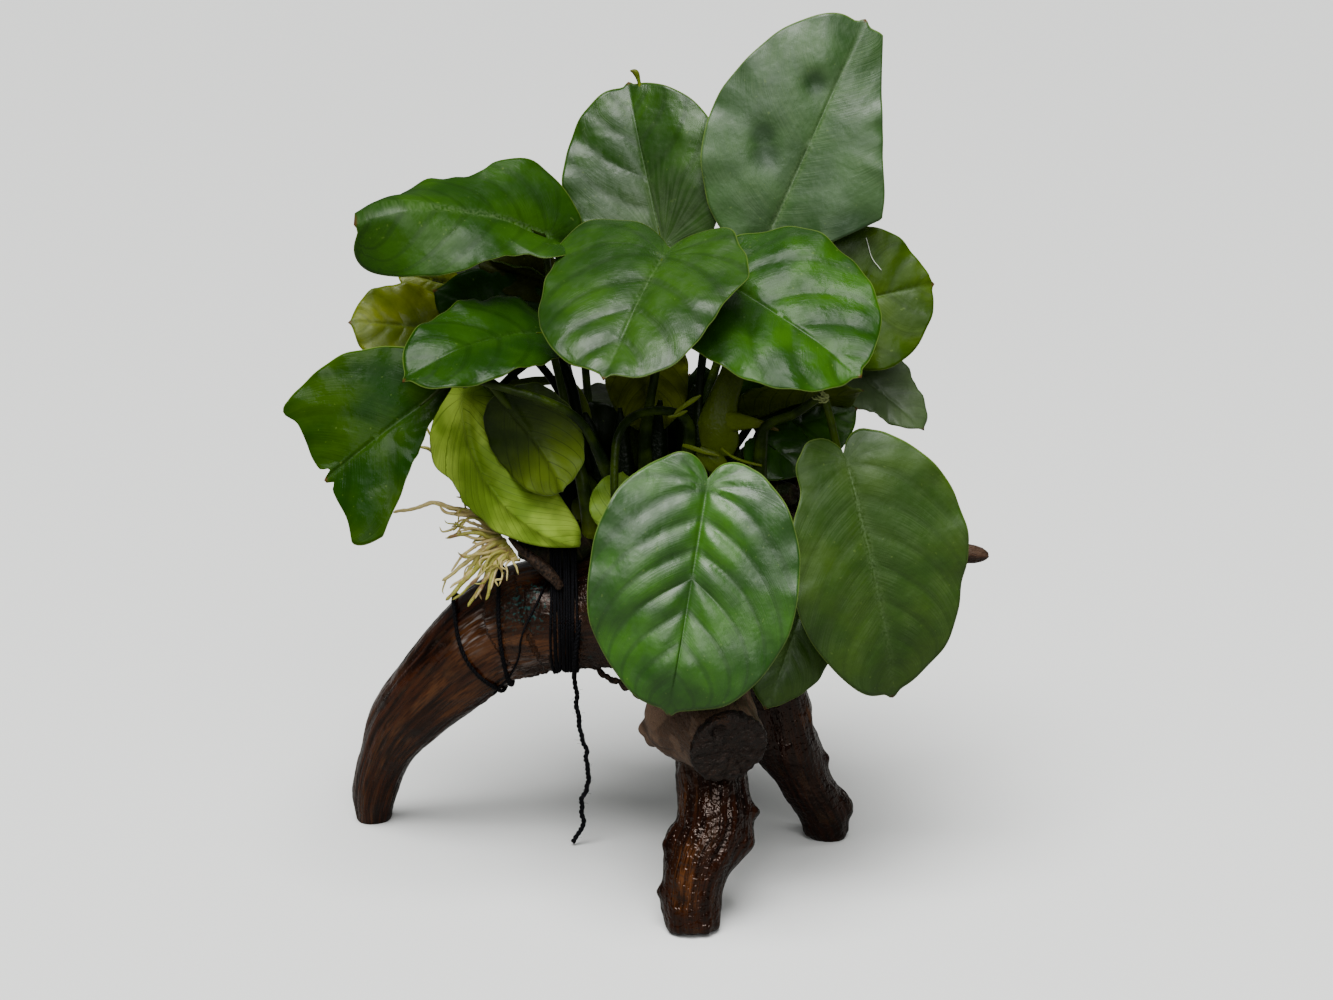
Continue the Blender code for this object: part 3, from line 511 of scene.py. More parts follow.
# Where blue-green algae sit on the bark: the place and how far they reach.
STAINS = metres((
    (-330, -140, 740, 60), (-380, -120, 710, 60), (-225, -150, 640, 16), (-195, -130, 570, 16),
    (290, -130, 900, 60), (310, -120, 960, 50),
))
# Where a grey film of fibres has dried under the arm and on it, with painted sheen where it glints:
# the place and how far it reaches.
FILMS_AND_SHEEN = metres((
    (-384, -63, 518, 45), (-317, -79, 546, 38), (-279, -53, 526, 35), (-504, -76, 634, 34),
    (-479, -81, 661, 30), (-523, -71, 608, 26),
))


def limb_tube(route, seed, rough, bosses):
    """The skin of one limb before it is grown together with the others."""
    path = smooth_path(route, 8)
    path = evened(path, round(measured(path)[-1] / LIMB_STEP))
    middle = path[:, :3]
    _, side, over = rails(middle, (0.0, 1.0, 0.2))
    angle = 2 * pi * np.arange(LIMB_SIDES) / LIMB_SIDES
    share = np.linspace(0, 1, len(path))
    factor = np.ones((len(path), LIMB_SIDES))
    for i in range(len(path)):
        for k in range(LIMB_SIDES):
            spot = (cos(angle[k]) * 1.3, sin(angle[k]) * 1.3, share[i] * 7 + seed)
            factor[i, k] += rough * noise.noise(spot)
    for at, turn, height, long, wide in bosses:
        apart = np.arccos(np.clip(np.cos(angle - radians(turn)), -1, 1))
        factor += height * np.exp(-(((share - at) / long) ** 2)[:, None]
                                  - ((apart / radians(wide)) ** 2)[None, :])
    ring = (side[:, None] * np.cos(angle)[:, None] * path[:, 3, None, None]
            + over[:, None] * np.sin(angle)[:, None] * path[:, 4, None, None])
    points = middle[:, None] + ring * factor[:, :, None]
    _, faces = tube(middle, np.ones(len(path)), LIMB_SIDES)
    return points.reshape(-1, 3), faces


def applied(made):
    """The object's mesh with its modifiers applied, in place of the one it had."""
    graph = bpy.context.evaluated_depsgraph_get()
    shaped = bpy.data.meshes.new_from_object(made.evaluated_get(graph))
    made.modifiers.clear()
    made.data = shaped
    return shaped


def grown_skin():
    """All the limbs as one skin of small even faces, smoothed where they fork."""
    points, faces = joined([limb_tube(*limb) for limb in LIMBS])
    mesh = bpy.data.meshes.new("driftwood_skin")
    mesh.from_pydata(points.tolist(), [], faces)
    made = bpy.data.objects.new("driftwood_skin", mesh)
    bpy.context.scene.collection.objects.link(made)
    knit = made.modifiers.new("knit", "REMESH")
    knit.mode = "VOXEL"
    knit.voxel_size = SKIN_VOXEL
    soften = made.modifiers.new("soften", "SMOOTH")
    soften.factor = 0.5
    soften.iterations = 14
    shaped = applied(made)
    bpy.data.objects.remove(made)
    return shaped


def numbers(mesh, of, what, width):
    """The mesh's own numbers as an array."""
    found = np.zeros(len(getattr(mesh, of)) * width, dtype=np.float32)
    getattr(mesh, of).foreach_get(what, found)
    return found.reshape(-1, width).astype(float)


def along_limbs(points):
    """For each point: which limb it is on, how far along, how far round, and how near a fork."""
    best = np.full(len(points), 9.0)
    second = np.full(len(points), 9.0)
    limb = np.zeros(len(points), dtype=int)
    far = np.zeros(len(points))
    turn = np.zeros(len(points))
    for number, (route, *_) in enumerate(LIMBS):
        path = smooth_path(route, 8)
        path = evened(path, round(measured(path)[-1] / ROUTE_STEP))
        middle = path[:, :3]
        ahead, side, over = rails(middle, (0.0, 1.0, 0.2))
        gaps = np.linalg.norm(points[:, None] - middle[None], axis=2)
        nearest = gaps.argmin(axis=1)
        off = points - middle[nearest]
        depth = gaps[np.arange(len(points)), nearest] / path[nearest, 3:5].mean(axis=1)
        closer = depth < best
        second = np.where(closer, best, np.minimum(second, depth))
        limb[closer] = number
        slid = measured(path)[nearest] + (off * ahead[nearest]).sum(axis=1)
        spun = np.arctan2((off * over[nearest]).sum(axis=1), (off * side[nearest]).sum(axis=1))
        far[closer] = slid[closer]
        turn[closer] = spun[closer]
        best = np.minimum(best, depth)
    return limb, far, turn, np.clip(1 - (second - best) / 0.5, 0, 1)


def wood_finish():
    """Wet bog wood: near black, with amber and tan streaks, blue stains, and pits that glint."""
    made, tree, surface = finish("wet driftwood", 0.3, Specular_IOR_Level=0.32,
                                 Specular_Tint=(1.0, 0.80, 0.70, 1.0))
    grain = mark(tree, "grain", "Vector")
    amber, dull, bark, stain, hollow_shade, pitted, brown, wet = (mark(tree, name) for name in (
        "amber", "dull", "bark", "stain", "hollow_shade", "pitted", "brown", "wet"))
    place = on_object(tree)
    fine = mask(tree, grain, 1.0, 0.35, 0.68, 6.0)
    fibre = mask(tree, grain, 2.6, 0.35, 0.65, 4.0)
    broad = mask(tree, grain, 0.32, 0.40, 0.62, 3.0)
    blotch = mask(tree, place, 150.0, 0.42, 0.62)
    crumb = mask(tree, place, 1500.0, 0.30, 0.75, 5.0)
    colour = blend(tree, times(tree, fine, brown), WOOD_BLACK, WOOD_BROWN)
    warm = times(tree, amber, plus(tree, 0.25, broad))
    warm = times(tree, warm, plus(tree, 0.45, fibre))
    colour = blend(tree, ramp(tree, warm, 0.0, 1.2), colour, WOOD_AMBER)
    pale = times(tree, ramp(tree, broad, 0.55, 1.0, 0.0, 0.12), blotch)
    colour = blend(tree, pale, colour, WOOD_TAN)
    kept = times(tree, bark, ramp(tree, blotch, 0.0, 1.0, 0.45, 1.0))
    colour = blend(tree, kept, colour, WOOD_BARK)
    ash = times(tree, dull, ramp(tree, crumb, 0.0, 1.0, 0.55, 1.0))
    colour = blend(tree, ash, colour, WOOD_DULL)
    # Painted shade: the grooves and holes are darkened towards black.
    colour = blend(tree, ramp(tree, hollow_shade, 0.2, 1.0, 0.0, 0.9), colour, WOOD_BLACK)
    colour = blend(tree, times(tree, stain, 0.85), colour, WOOD_BLACK)
    # A real grey film, with painted sheen where it glints, in streaks along the grain.
    film_and_sheen = mark(tree, "film_and_sheen")
    film_and_sheen_streaks = times(tree, film_and_sheen, mask(tree, grain, 1.6, 0.46, 0.70, 5.0))
    colour = blend(tree, film_and_sheen_streaks, colour, WOOD_FILM_AND_SHEEN)
    blue = times(tree, stain, mask(tree, place, 1100.0, 0.56, 0.62))
    colour = blend(tree, blue, colour, WOOD_STAIN)
    tree.links.new(colour, surface.inputs["Base Color"])
    dryness = arithmetic(tree, "SUBTRACT", 1.0, wet)
    rough = plus(tree, ramp(tree, blotch, 0.0, 1.0, 0.05, 0.14),
                       times(tree, dryness, 0.36))
    rough = plus(tree, rough, times(tree, stain, 0.20))
    tree.links.new(rough, surface.inputs["Roughness"])
    pits = times(tree, mask(tree, place, 760.0, 0.35, 0.65, 1.0), pitted)
    ridges = mask(tree, grain, 1.1, 0.30, 0.70, 1.0)
    raised = plus(tree, pits, times(tree, ridges, 0.45))
    dry = times(tree, dryness, plus(tree, crumb, fine))
    raised = plus(tree, raised, times(tree, dry, 0.8))
    bumped(tree, surface, raised, 0.00020)
    return made


def spread(values, edges):
    """The values of each point, evened out along the edges of the mesh."""
    ends = np.concatenate((edges[:, 0], edges[:, 1]))
    others = np.concatenate((edges[:, 1], edges[:, 0]))
    count = np.bincount(ends, minlength=len(values))[:, None]
    for _ in range(SKIN_ROUNDS):
        sums = [np.bincount(ends, column[others], len(values)) for column in values.T]
        values = (values + np.column_stack(sums)) / (1 + count)
    return values


def patches(points, places):
    """How far each point lies within patches round some places."""
    inside = np.zeros(len(points))
    for *place, reach in places:
        inside += hump(np.linalg.norm(points - np.array(place), axis=1) / reach)
    return inside


def driftwood():
    """Grooves, knots and wear on the grown skin, and the marks that its finish reads."""
    mesh = grown_skin()
    points = numbers(mesh, "vertices", "co", 3)
    normals = numbers(mesh, "vertices", "normal", 3)
    limb, far, turn, fork = along_limbs(points)
    streaks = np.column_stack((np.cos(turn) * LIMB_GIRTH, np.sin(turn) * LIMB_GIRTH,
                               far * 0.10 + limb * 0.7))
    ridges = cloud(streaks, 230.0, 3.1)
    grooves = cloud(streaks, 620.0, 9.4)
    lift = RIDGE_HEIGHT * ridges - GROOVE_DEPTH * np.maximum(grooves - GROOVE_EDGE, 0) * 3
    lift = lift * (1 - 0.6 * fork)
    lumps = cloud(points, 160.0, 4.0)
    skin = spread(np.array(LIMB_SKIN)[limb], numbers(mesh, "edges", "vertices", 2).astype(int))
    pitted = skin[:, 0]
    pimples = cloud(points, 430.0, 6.0)
    lift += (LUMP_HEIGHT * lumps + PIMPLE_HEIGHT * pimples) * (0.30 + 0.70 * pitted)
    # The grooves and holes, where shade is painted on.
    hollow_shade = np.maximum(grooves - GROOVE_EDGE, 0) * 2
    for *place, radius, height in KNOTS:
        near = patches(points, [(*place, radius)])
        lift += height * near
        hollow_shade += near * (1.0 if height < 0 else 0.0)
    under = np.clip(-normals[:, 2] * 1.6 - 0.4, 0, 1)
    under *= hump((points[:, 0] - WORN_MIDDLE) / WORN_REACH) * (points[:, 2] > WORN_FLOOR)
    crumbs = cloud(points, 520.0, 7.7) + 0.6 * cloud(points, 1100.0, 1.2)
    lift += under * CRUMB_HEIGHT * np.maximum(crumbs, -0.2)
    face = ((limb == STUB_NUMBER) & (far > STUB_END)).astype(float)
    cracks = np.abs(cloud(points * (1.0, 0.3, 1.0), 420.0, 5.5))
    rough = END_ROUGHNESS * cloud(points, 700.0, 2.2)
    lift += face * (rough - CRACK_DEPTH * hump(cracks / CRACK_WIDTH))
    foot = np.clip(points[:, 2] / FOOT_EASE, 0, 1)
    points += normals * (lift * foot)[:, None]
    points[:, 2] = np.maximum(points[:, 2], 0.0)
    amber = np.clip(0.25 + 1.2 * cloud(streaks, 60.0, 6.0), 0, 1)
    amber *= np.clip(skin[:, 2] * 2 - 1, 0.1, 1)
    amber += patches(points, AMBERS) * 0.9
    faces = [list(p.vertices) for p in mesh.polygons]
    grain = np.column_stack((np.cos(turn) * 9, np.sin(turn) * 9, far * 95 + limb * 31))
    grain = np.where(face[:, None] > 0, points * (320.0, 320.0, 900.0), grain)
    return piece("driftwood", points, faces, [wood_finish()], "driftwood", [
        "driftwood_crown", "driftwood_left_arm", "driftwood_front_stub", "driftwood_front_leg",
        "driftwood_right_leg", "driftwood_side_twig"],
        {"grain": grain, "amber": np.clip(amber, 0, 1.3), "dull": face,
         "stain": np.clip(patches(points, STAINS), 0, 1), "hollow_shade": np.clip(hollow_shade, 0, 1),
         "film_and_sheen": np.clip(patches(points, FILMS_AND_SHEEN), 0, 1),
         "pitted": pitted, "bark": skin[:, 1] * (1 - face), "brown": skin[:, 2], "wet": skin[:, 3]})


wood = driftwood()


# The rhizome is the plant's creeping stem, as thick as a pencil, green-brown and ringed with the
# scars of old leaves. It lies along the top of the crown, and the stalks spring from it.
RHIZOME_ROUTE = metres((
    (-385, -85, 872, 28), (-335, -78, 850, 36), (-268, -70, 847, 42), (-180, -40, 895, 45),
    (-80, -20, 914, 46), (20, -30, 940, 47), (110, -30, 964, 46), (190, -40, 987, 44),
    (270, -75, 998, 39), (340, -110, 1010, 26),
))
RHIZOME_RINGS = 190
RHIZOME_SIDES = 36
SCAR_SPACING = 0.0034
SCAR_WIDTH = 0.12
NODE_SWELL = 1.05
STEM_GREEN = (0.012, 0.019, 0.0025, 1.0)
STEM_BROWN = (0.020, 0.011, 0.0045, 1.0)
STEM_SCAR = (0.042, 0.034, 0.012, 1.0)


def stem_finish():
    """Green-brown skin with paler rings at the scars."""
    made, tree, surface = finish("rhizome skin", 0.5, Specular_IOR_Level=0.2)
    scar = mark(tree, "scar")
    place = on_object(tree)
    colour = blend(tree, mask(tree, place, 220.0, 0.40, 0.62), STEM_GREEN, STEM_BROWN)
    colour = blend(tree, ramp(tree, scar, 0.3, 1.0, 0.0, 0.7), colour, STEM_SCAR)
    tree.links.new(colour, surface.inputs["Base Color"])
    bumped(tree, surface, mask(tree, place, 1400.0, 0.3, 0.7), 0.00020)
    return made


rhizome_path = evened(smooth_path(RHIZOME_ROUTE), RHIZOME_RINGS)
ring_share = (measured(rhizome_path) / SCAR_SPACING) % 1.0
scar = hump((ring_share - 0.5) / SCAR_WIDTH)
rhizome_radii = rhizome_path[:, 3] * (0.96 + 0.09 * scar)
rhizome_radii *= np.clip(np.minimum(np.arange(RHIZOME_RINGS), RHIZOME_RINGS - 1
                                    - np.arange(RHIZOME_RINGS)) / 6, 0.25, 1) ** 0.5
rhizome_points, rhizome_faces = tube(rhizome_path[:, :3], rhizome_radii, RHIZOME_SIDES)
rhizome_middle = np.repeat(rhizome_path[:, :3], RHIZOME_SIDES, axis=0)
rhizome_lumps = 0.00035 * cloud(rhizome_points, 420.0, 2.0)
rhizome_lumps += 0.0004 * cloud(rhizome_points, 170.0, 8.0)
rhizome_points += unit(rhizome_points - rhizome_middle) * rhizome_lumps[:, None]
piece("rhizome_stem", rhizome_points, rhizome_faces, [stem_finish()], "rhizome", ["rhizome"],
      {"scar": np.repeat(scar, RHIZOME_SIDES)})


# The roots are straw-coloured, 1 to 2 mm thick and brittle. They burst from the old end of the
# rhizome over the left arm, where the light has turned some of them green.
ROOT_HEART = metres(((-435, -85, 905), (-370, -135, 835)))
# Each root: how far down the heart of the tuft it springs, its half width, and its route.
ROOTS = (
    (0.0, 10, ((-509, -65, 946), (-600, -75, 977), (-702, -100, 955))),
    (0.0, 8, ((-470, -20, 965), (-515, 10, 1025), (-574, 5, 1070), (-608, -12, 1145),
              (-625, -12, 1170))),
    (0.05, 6, ((-480, -90, 920), (-520, -85, 935), (-552, -80, 915))),
    (0.1, 5.5, ((-480, -95, 905), (-520, -100, 918), (-546, -80, 930))),
    (0.15, 6, ((-490, -110, 893), (-530, -110, 900), (-565, -100, 890))),
    (0.2, 6.5, ((-480, -120, 880), (-520, -130, 855), (-550, -140, 815))),
    (0.25, 10, ((-465, -125, 870), (-515, -145, 835), (-572, -160, 797))),
    (0.3, 8, ((-460, -130, 858), (-500, -150, 815), (-552, -165, 775))),
    (0.35, 11, ((-460, -135, 850), (-510, -155, 800), (-566, -170, 744))),
    (0.45, 7, ((-452, -140, 845), (-485, -160, 795), (-545, -172, 748))),
    (0.5, 9.5, ((-445, -145, 840), (-468, -165, 790), (-508, -180, 731))),
    (0.55, 7, ((-438, -150, 838), (-460, -170, 795), (-485, -185, 755))),
    (0.6, 9.5, ((-435, -150, 835), (-450, -175, 790), (-462, -182, 750))),
    (0.65, 6, ((-428, -155, 830), (-438, -175, 800), (-448, -185, 778))),
    (0.7, 5, ((-420, -155, 832), (-420, -180, 810), (-424, -188, 788))),
    (0.8, 4.5, ((-408, -155, 835), (-402, -175, 818), (-404, -185, 800))),
    (0.9, 5, ((-392, -150, 845), (-380, -170, 830), (-376, -178, 815))),
    (0.5, 7, ((-480, -150, 862), (-500, -160, 860), (-530, -160, 862))),
    (0.6, 7.5, ((-440, -150, 862), (-462, -165, 840), (-470, -175, 812))),
    (0.75, 7, ((-420, -145, 850), (-436, -165, 835), (-455, -180, 822))),
    (0.1, 7, ((-470, -40, 890), (-480, 10, 880), (-510, 40, 840))),
    (0.3, 8, ((-440, -60, 880), (-470, 10, 870), (-490, 80, 815))),
    (0.0, 11, ((-500, 0, 1010), (-548, 0, 1045), (-590, -8, 1080), (-612, -10, 1104),
               (-640, -10, 1112))),
    (0.0, 9.5, ((-484, -80, 943), (-520, -80, 950), (-558, -82, 953), (-581, -82, 968))),
    (0.0, 5.5, ((-480, -70, 950), (-507, -75, 971), (-522, -75, 987), (-542, -75, 995))),
    (0.0, 5, ((-500, -78, 952), (-568, -80, 968), (-604, -78, 986))),
    (0.05, 5.5, ((-490, -80, 950), (-515, -82, 964), (-530, -85, 953), (-536, -85, 929))),
    (0.05, 5.5, ((-470, -88, 935), (-496, -90, 942), (-525, -92, 931), (-548, -92, 907))),
    (0.15, 8, ((-455, -105, 895), (-477, -110, 907), (-534, -112, 905), (-562, -112, 894))),
    (0.1, 6.5, ((-470, -98, 915), (-504, -102, 921), (-524, -102, 923))),
    (0.3, 9.5, ((-451, -130, 881), (-489, -142, 844), (-523, -150, 788))),
)
# A thick old root that has died back to brown fibres: its places, with the half width there in
# millimetres.
DEAD_ROOT = (
    (-400, -118, 900, 0.6), (-370, -130, 872, 1.1), (-335, -140, 840, 1.5),
    (-300, -144, 806, 1.7), (-272, -140, 770, 0.9),
)
# A dead root that clings crookedly to the underside of the crown, in the same way.
CLINGING_ROOT = (
    (-190, -30, 538, 0.5), (-172, -42, 509, 0.8), (-154, -58, 503, 0.6), (-140, -66, 496, 0.9),
    (-122, -80, 498, 0.6), (-108, -92, 488, 1.0), (-90, -105, 488, 0.6), (-72, -120, 478, 1.1),
    (-45, -140, 490, 0.7),
)
ROOT_BRANCHES = 46
ROOT_STEP = 0.0004
ROOT_SIDES = 10
ROOT_STRAW = (0.62, 0.50, 0.20, 1.0)
ROOT_GREEN = (0.36, 0.35, 0.050, 1.0)
ROOT_BROWN = (0.32, 0.190, 0.080, 1.0)
DEAD_STEPS = 60
DEAD_SIDES = 18
DEAD_RIDGES = 0.0006
DEAD_LUMPS = 0.0004
DEAD_DARK = (0.008, 0.0045, 0.0025, 1.0)
DEAD_LIGHT = (0.055, 0.031, 0.018, 1.0)


def root_finish():
    """Straw-coloured skin that turns green or brown in patches."""
    made, tree, surface = finish("root skin", 0.42, Subsurface_Weight=0.15,
                                 Subsurface_Radius=(0.0010, 0.0008, 0.0004))
    place = on_object(tree)
    tone = mark(tree, "tone")
    colour = blend(tree, ramp(tree, tone, 0.35, 0.75), ROOT_STRAW, ROOT_GREEN)
    colour = blend(tree, mask(tree, place, 260.0, 0.55, 0.72), colour, ROOT_BROWN)
    tree.links.new(colour, surface.inputs["Base Color"])
    bumped(tree, surface, mask(tree, place, 1800.0, 0.3, 0.7), 0.00010)
    return made


def dead_root_finish():
    """Brown fibres, lighter along their ridges."""
    made, tree, surface = finish("dead root skin", 0.6, Specular_IOR_Level=0.2)
    place = on_object(tree)
    colour = blend(tree, mask(tree, place, 1300.0, 0.35, 0.65), DEAD_DARK, DEAD_LIGHT)
    tree.links.new(colour, surface.inputs["Base Color"])
    bumped(tree, surface, mask(tree, place, 1600.0, 0.3, 0.7), 0.00020)
    return made


def root_tube(knots, thick, rng):
    """One crooked root: it tapers, swells a little here and there, and ends in a blunt tip."""
    path = smooth_path(knots, 10)
    count = max(12, round(measured(path)[-1] / ROOT_STEP))
    path = evened(path, count)
    share = np.linspace(0, 1, count)
    wander = np.column_stack([cloud(path, 260.0, rng.uniform(0, 90)) for _ in range(3)])
    path = path + wander * (0.0006 * np.minimum(share * 4, 1))[:, None]
    radii = 0.88 * thick * (1 - 0.55 * share) * (1 + 0.22 * cloud(path, 900.0, rng.uniform(0, 90)))
    radii[-1] *= 0.35
    radii[-2] *= 0.75
    return tube(path, radii, ROOT_SIDES), path


def roots():
    """The main roots from their routes, and short side roots that grow from them."""
    rng = np.random.default_rng(11)
    parts, tones, mains = [], [], []
    high, low = ROOT_HEART
    for share, thick, route in ROOTS:
        thick = metres(thick)
        knots = (high + (low - high) * share, *metres(route))
        (points, faces), path = root_tube(knots, thick, rng)
        parts.append((points, faces))
        mains.append((path, thick))
        tones.append(np.full(len(points), rng.uniform(0.2, 0.9)))
    for _ in range(ROOT_BRANCHES):
        path, thick = mains[rng.integers(2, len(mains))]
        start = path[rng.integers(len(path) // 4, len(path) - 2)]
        way = unit(path[-1] - path[0]) + rng.normal(size=3) * 0.55
        way = unit(way) * rng.uniform(0.0020, 0.0058)
        bend = rng.normal(size=3) * 0.0008
        (points, faces), _ = root_tube((start, start + way * 0.5 + bend, start + way),
                                       rng.uniform(0.00022, 0.00048), rng)
        parts.append((points, faces))
        tones.append(np.full(len(points), rng.uniform(0.1, 0.9)))
    points, faces = joined(parts)
    piece("roots", points, faces, [root_straw], "root",
          ["root_long", "root_rising", "root_tuft"], {"tone": np.concatenate(tones)})


root_straw = root_finish()
roots()
dead_skin = dead_root_finish()
for name, route in (("dead_root", DEAD_ROOT), ("clinging_root", CLINGING_ROOT)):
    path = evened(smooth_path(widened(route)), DEAD_STEPS)
    points, faces = tube(path[:, :3], path[:, 3] * 0.001, DEAD_SIDES)
    middle = np.repeat(path[:, :3], DEAD_SIDES, axis=0)
    lift = DEAD_RIDGES * cloud((points - middle) * (1.0, 1.0, 0.3) + middle * 0.12, 900.0, 4.0)
    if name == "clinging_root":
        lift += DEAD_LUMPS * cloud(middle, 1100.0, 8.0)
    points += unit(points - middle) * lift[:, None]
    piece(name, points, faces, [dead_skin], "root")


# The black thread is wound tightly eleven times round the wood and the rhizome, and two single
# turns go round the arm and meet under it. It lies on the bark all the way.
BAND_MIDDLE = -0.0264
BAND_WIDTH = 0.0080
BAND_TURNS = 11
BAND_THREAD = 0.00072
LOOP_THREAD = 0.00112
# Each single turn: its names, where it passes over and under the arm (x and z), and how far it
# sags, all in metres.
LOOPS = (
    ("thread_turn_a", "thread_loop_a", (-0.0556, 0.0675), (-0.0447, 0.0462), 0.0024),
    ("thread_turn_b", "thread_loop_b", (-0.0436, 0.0748), (-0.0414, 0.0475), 0.0005),
)
# A thin strand that slants down the bark from the windings and ends loose under the arm.
STRAND_ROUTE = metres((
    (-295, -98, 786), (-310, -96, 772), (-333, -130, 727), (-362, -141, 669), (-376, -135, 626),
    (-385, -102, 568), (-411, -62, 507), (-438, -43, 471), (-458, -12, 440),
))
STRAND_WIDTH = 0.00055
WOUND_STEP = 0.00040
OUTLINE_STEPS = 300
LOOP_FIBRES = 40
STRAND_POINTS = 200
STRAND_FIBRES = 30


def hull(points):
    """The convex outline round points of a plane, in order."""
    points = sorted(map(tuple, points.tolist()))

    def half(run):
        kept = []
        for p in run:
            while len(kept) > 1 and ((kept[-1][0] - kept[-2][0]) * (p[1] - kept[-2][1])
                                     - (kept[-1][1] - kept[-2][1]) * (p[0] - kept[-2][0])) <= 0:
                kept.pop()
            kept.append(p)
        return kept[:-1]

    outline = half(points) + half(points[::-1])
    return np.array(outline + outline[:1])


def around_wood(points, above, down, across, width, count, bow=0.0, span=1.0):
    """The even outline of what lies near a bowed plane, pushed out by half the thread's width."""
    square = np.cross(down, across)
    off = points - above
    near = np.abs(off @ square - bow * np.sin(np.clip(off @ down / span, 0, 1) * pi)) < 0.0007
    outline = hull(np.column_stack(((off @ across)[near], (off @ down)[near])))
    outline = evened(np.column_stack((outline, np.zeros(len(outline)))), count + 1)[:, :2]
    ahead = unit(np.roll(outline[:-1], -1, axis=0) - np.roll(outline[:-1], 1, axis=0))
    out = np.column_stack((ahead[:, 1], -ahead[:, 0]))
    return outline[:-1] + out * width * 0.46


def closed(ring):
    """The ring with its first point again at its end, as points at even steps."""
    ring = np.vstack((ring, ring[:1]))
    return evened(ring, round(measured(ring)[-1] / WOUND_STEP))


wood_points = numbers(wood.data, "vertices", "co", 3) + ORIGIN_IN_PLAN
tied = np.vstack((wood_points, rhizome_points))
parts = []
rng = np.random.default_rng(8)
down, across = np.array((0.0, 0.0, -1.0)), np.array((0.0, 1.0, 0.0))
for turn_number in range(BAND_TURNS):
    share = (turn_number + 0.5) / BAND_TURNS - 0.5
    x = BAND_MIDDLE + share * (BAND_WIDTH - BAND_THREAD)
    above = np.array((x, 0.0, 0.0))
    flat = around_wood(tied, above, down, across, BAND_THREAD, OUTLINE_STEPS)
    sway = 0.00022 * np.sin(2 * pi * np.arange(OUTLINE_STEPS) / OUTLINE_STEPS * rng.integers(1, 4)
                            + rng.uniform(0, 6))
    ring = above + flat[:, :1] * across + flat[:, 1:] * down
    ring[:, 0] += sway
    parts += yarn(closed(ring), BAND_THREAD, turn_number)
piece("thread_windings", *joined(parts), [black_cotton], "thread", ["thread_band"])
for name, node, top, low, sag in LOOPS:
    above = np.array((top[0], 0.0, top[1]))
    down = np.array((low[0], 0.0, low[1])) - above
    span = np.linalg.norm(down)
    down = down / span
    square = np.cross(down, across)
    sag *= -np.sign(square[0])
    flat = around_wood(wood_points, above, down, across, LOOP_THREAD, OUTLINE_STEPS, sag, span)
    sway = sag * np.sin(np.clip(flat[:, 1:] / span, 0, 1) * pi) * square
    ring = above + flat[:, :1] * across + flat[:, 1:] * down + sway
    ring = closed(ring)
    fibres = fuzz(ring, LOOP_THREAD, LOOP_FIBRES, rng)
    piece(name, *joined(yarn(ring, LOOP_THREAD, 3.0) + fibres), [black_cotton], "thread", [node])
strand_path = evened(smooth_path(STRAND_ROUTE), STRAND_POINTS)
strand = yarn(strand_path, STRAND_WIDTH, 6.0)
strand += fuzz(strand_path, STRAND_WIDTH * 1.6, STRAND_FIBRES, rng)
piece("thread_strand", *joined(strand), [black_cotton], "thread")


# The leaves are leathery blades, heart-shaped at the stalk, with a sunken midrib and veins that run
# out from it and curve towards the tip. Between the veins the blade is quilted. Each is worked out
# as a flat blade and then bent. face is where its upper side looks.
BLADE_THICKNESS = 0.00055
SINUS_SPREAD = 0.42
TIP_SPREAD = 0.20
TIP_LENGTH = 0.03
WIDEST_AT = 0.45
Leaf = namedtuple(
    "Leaf",
    "name base tip face width root meets heel arch fold curl roll via trims notch ovate look wave"
    " swells dents quilt spacing lean under",
)


def leaf(name, base, tip, face, width, root, meets="under", heel=0.14, arch=20, fold=(14, 4),
         curl=-12, roll=0, via=(), trims=(), notch=0.55, ovate=0.10, look="fresh", wave=6,
         swells=(), dents=(), quilt=(1.0, 1.0), spacing=0.19, lean=0.38, under="plain"):
    """One leaf, shaped as its solid is. look and under are its finishes, the rest its finer form.

    base, tip, width, via, wave, dents, the place of root and the distances of trims are in tenths
    of a millimetre. root is where the stalk springs along the rhizome, and how far round it. trims
    cut the margin off square: the direction from the midrib in degrees, and how far out.
    wave is how far the margin ripples. swells are where the margin is fuller or is bitten: the
    direction from the midrib in degrees, how wide, and how much. dents are broad hollows (or rises)
    in the blade: where, how far they reach, and how deep. quilt is how far the blade stands up
    between its veins, at the stalk and at the tip. spacing is how far apart the veins are, as a
    share of the width, and lean is how far they slant forward.
    """
    trims = [(direction, metres(distance)) for direction, distance in trims]
    return Leaf(name, metres(base), metres(tip), np.array(face), float(metres(width)),
                (metres(root[0]), root[1]), meets, heel, arch, fold, curl, roll, list(metres(via)),
                trims, notch, ovate, look, metres(wave), swells, metres(dents), quilt, spacing,
                lean, under)


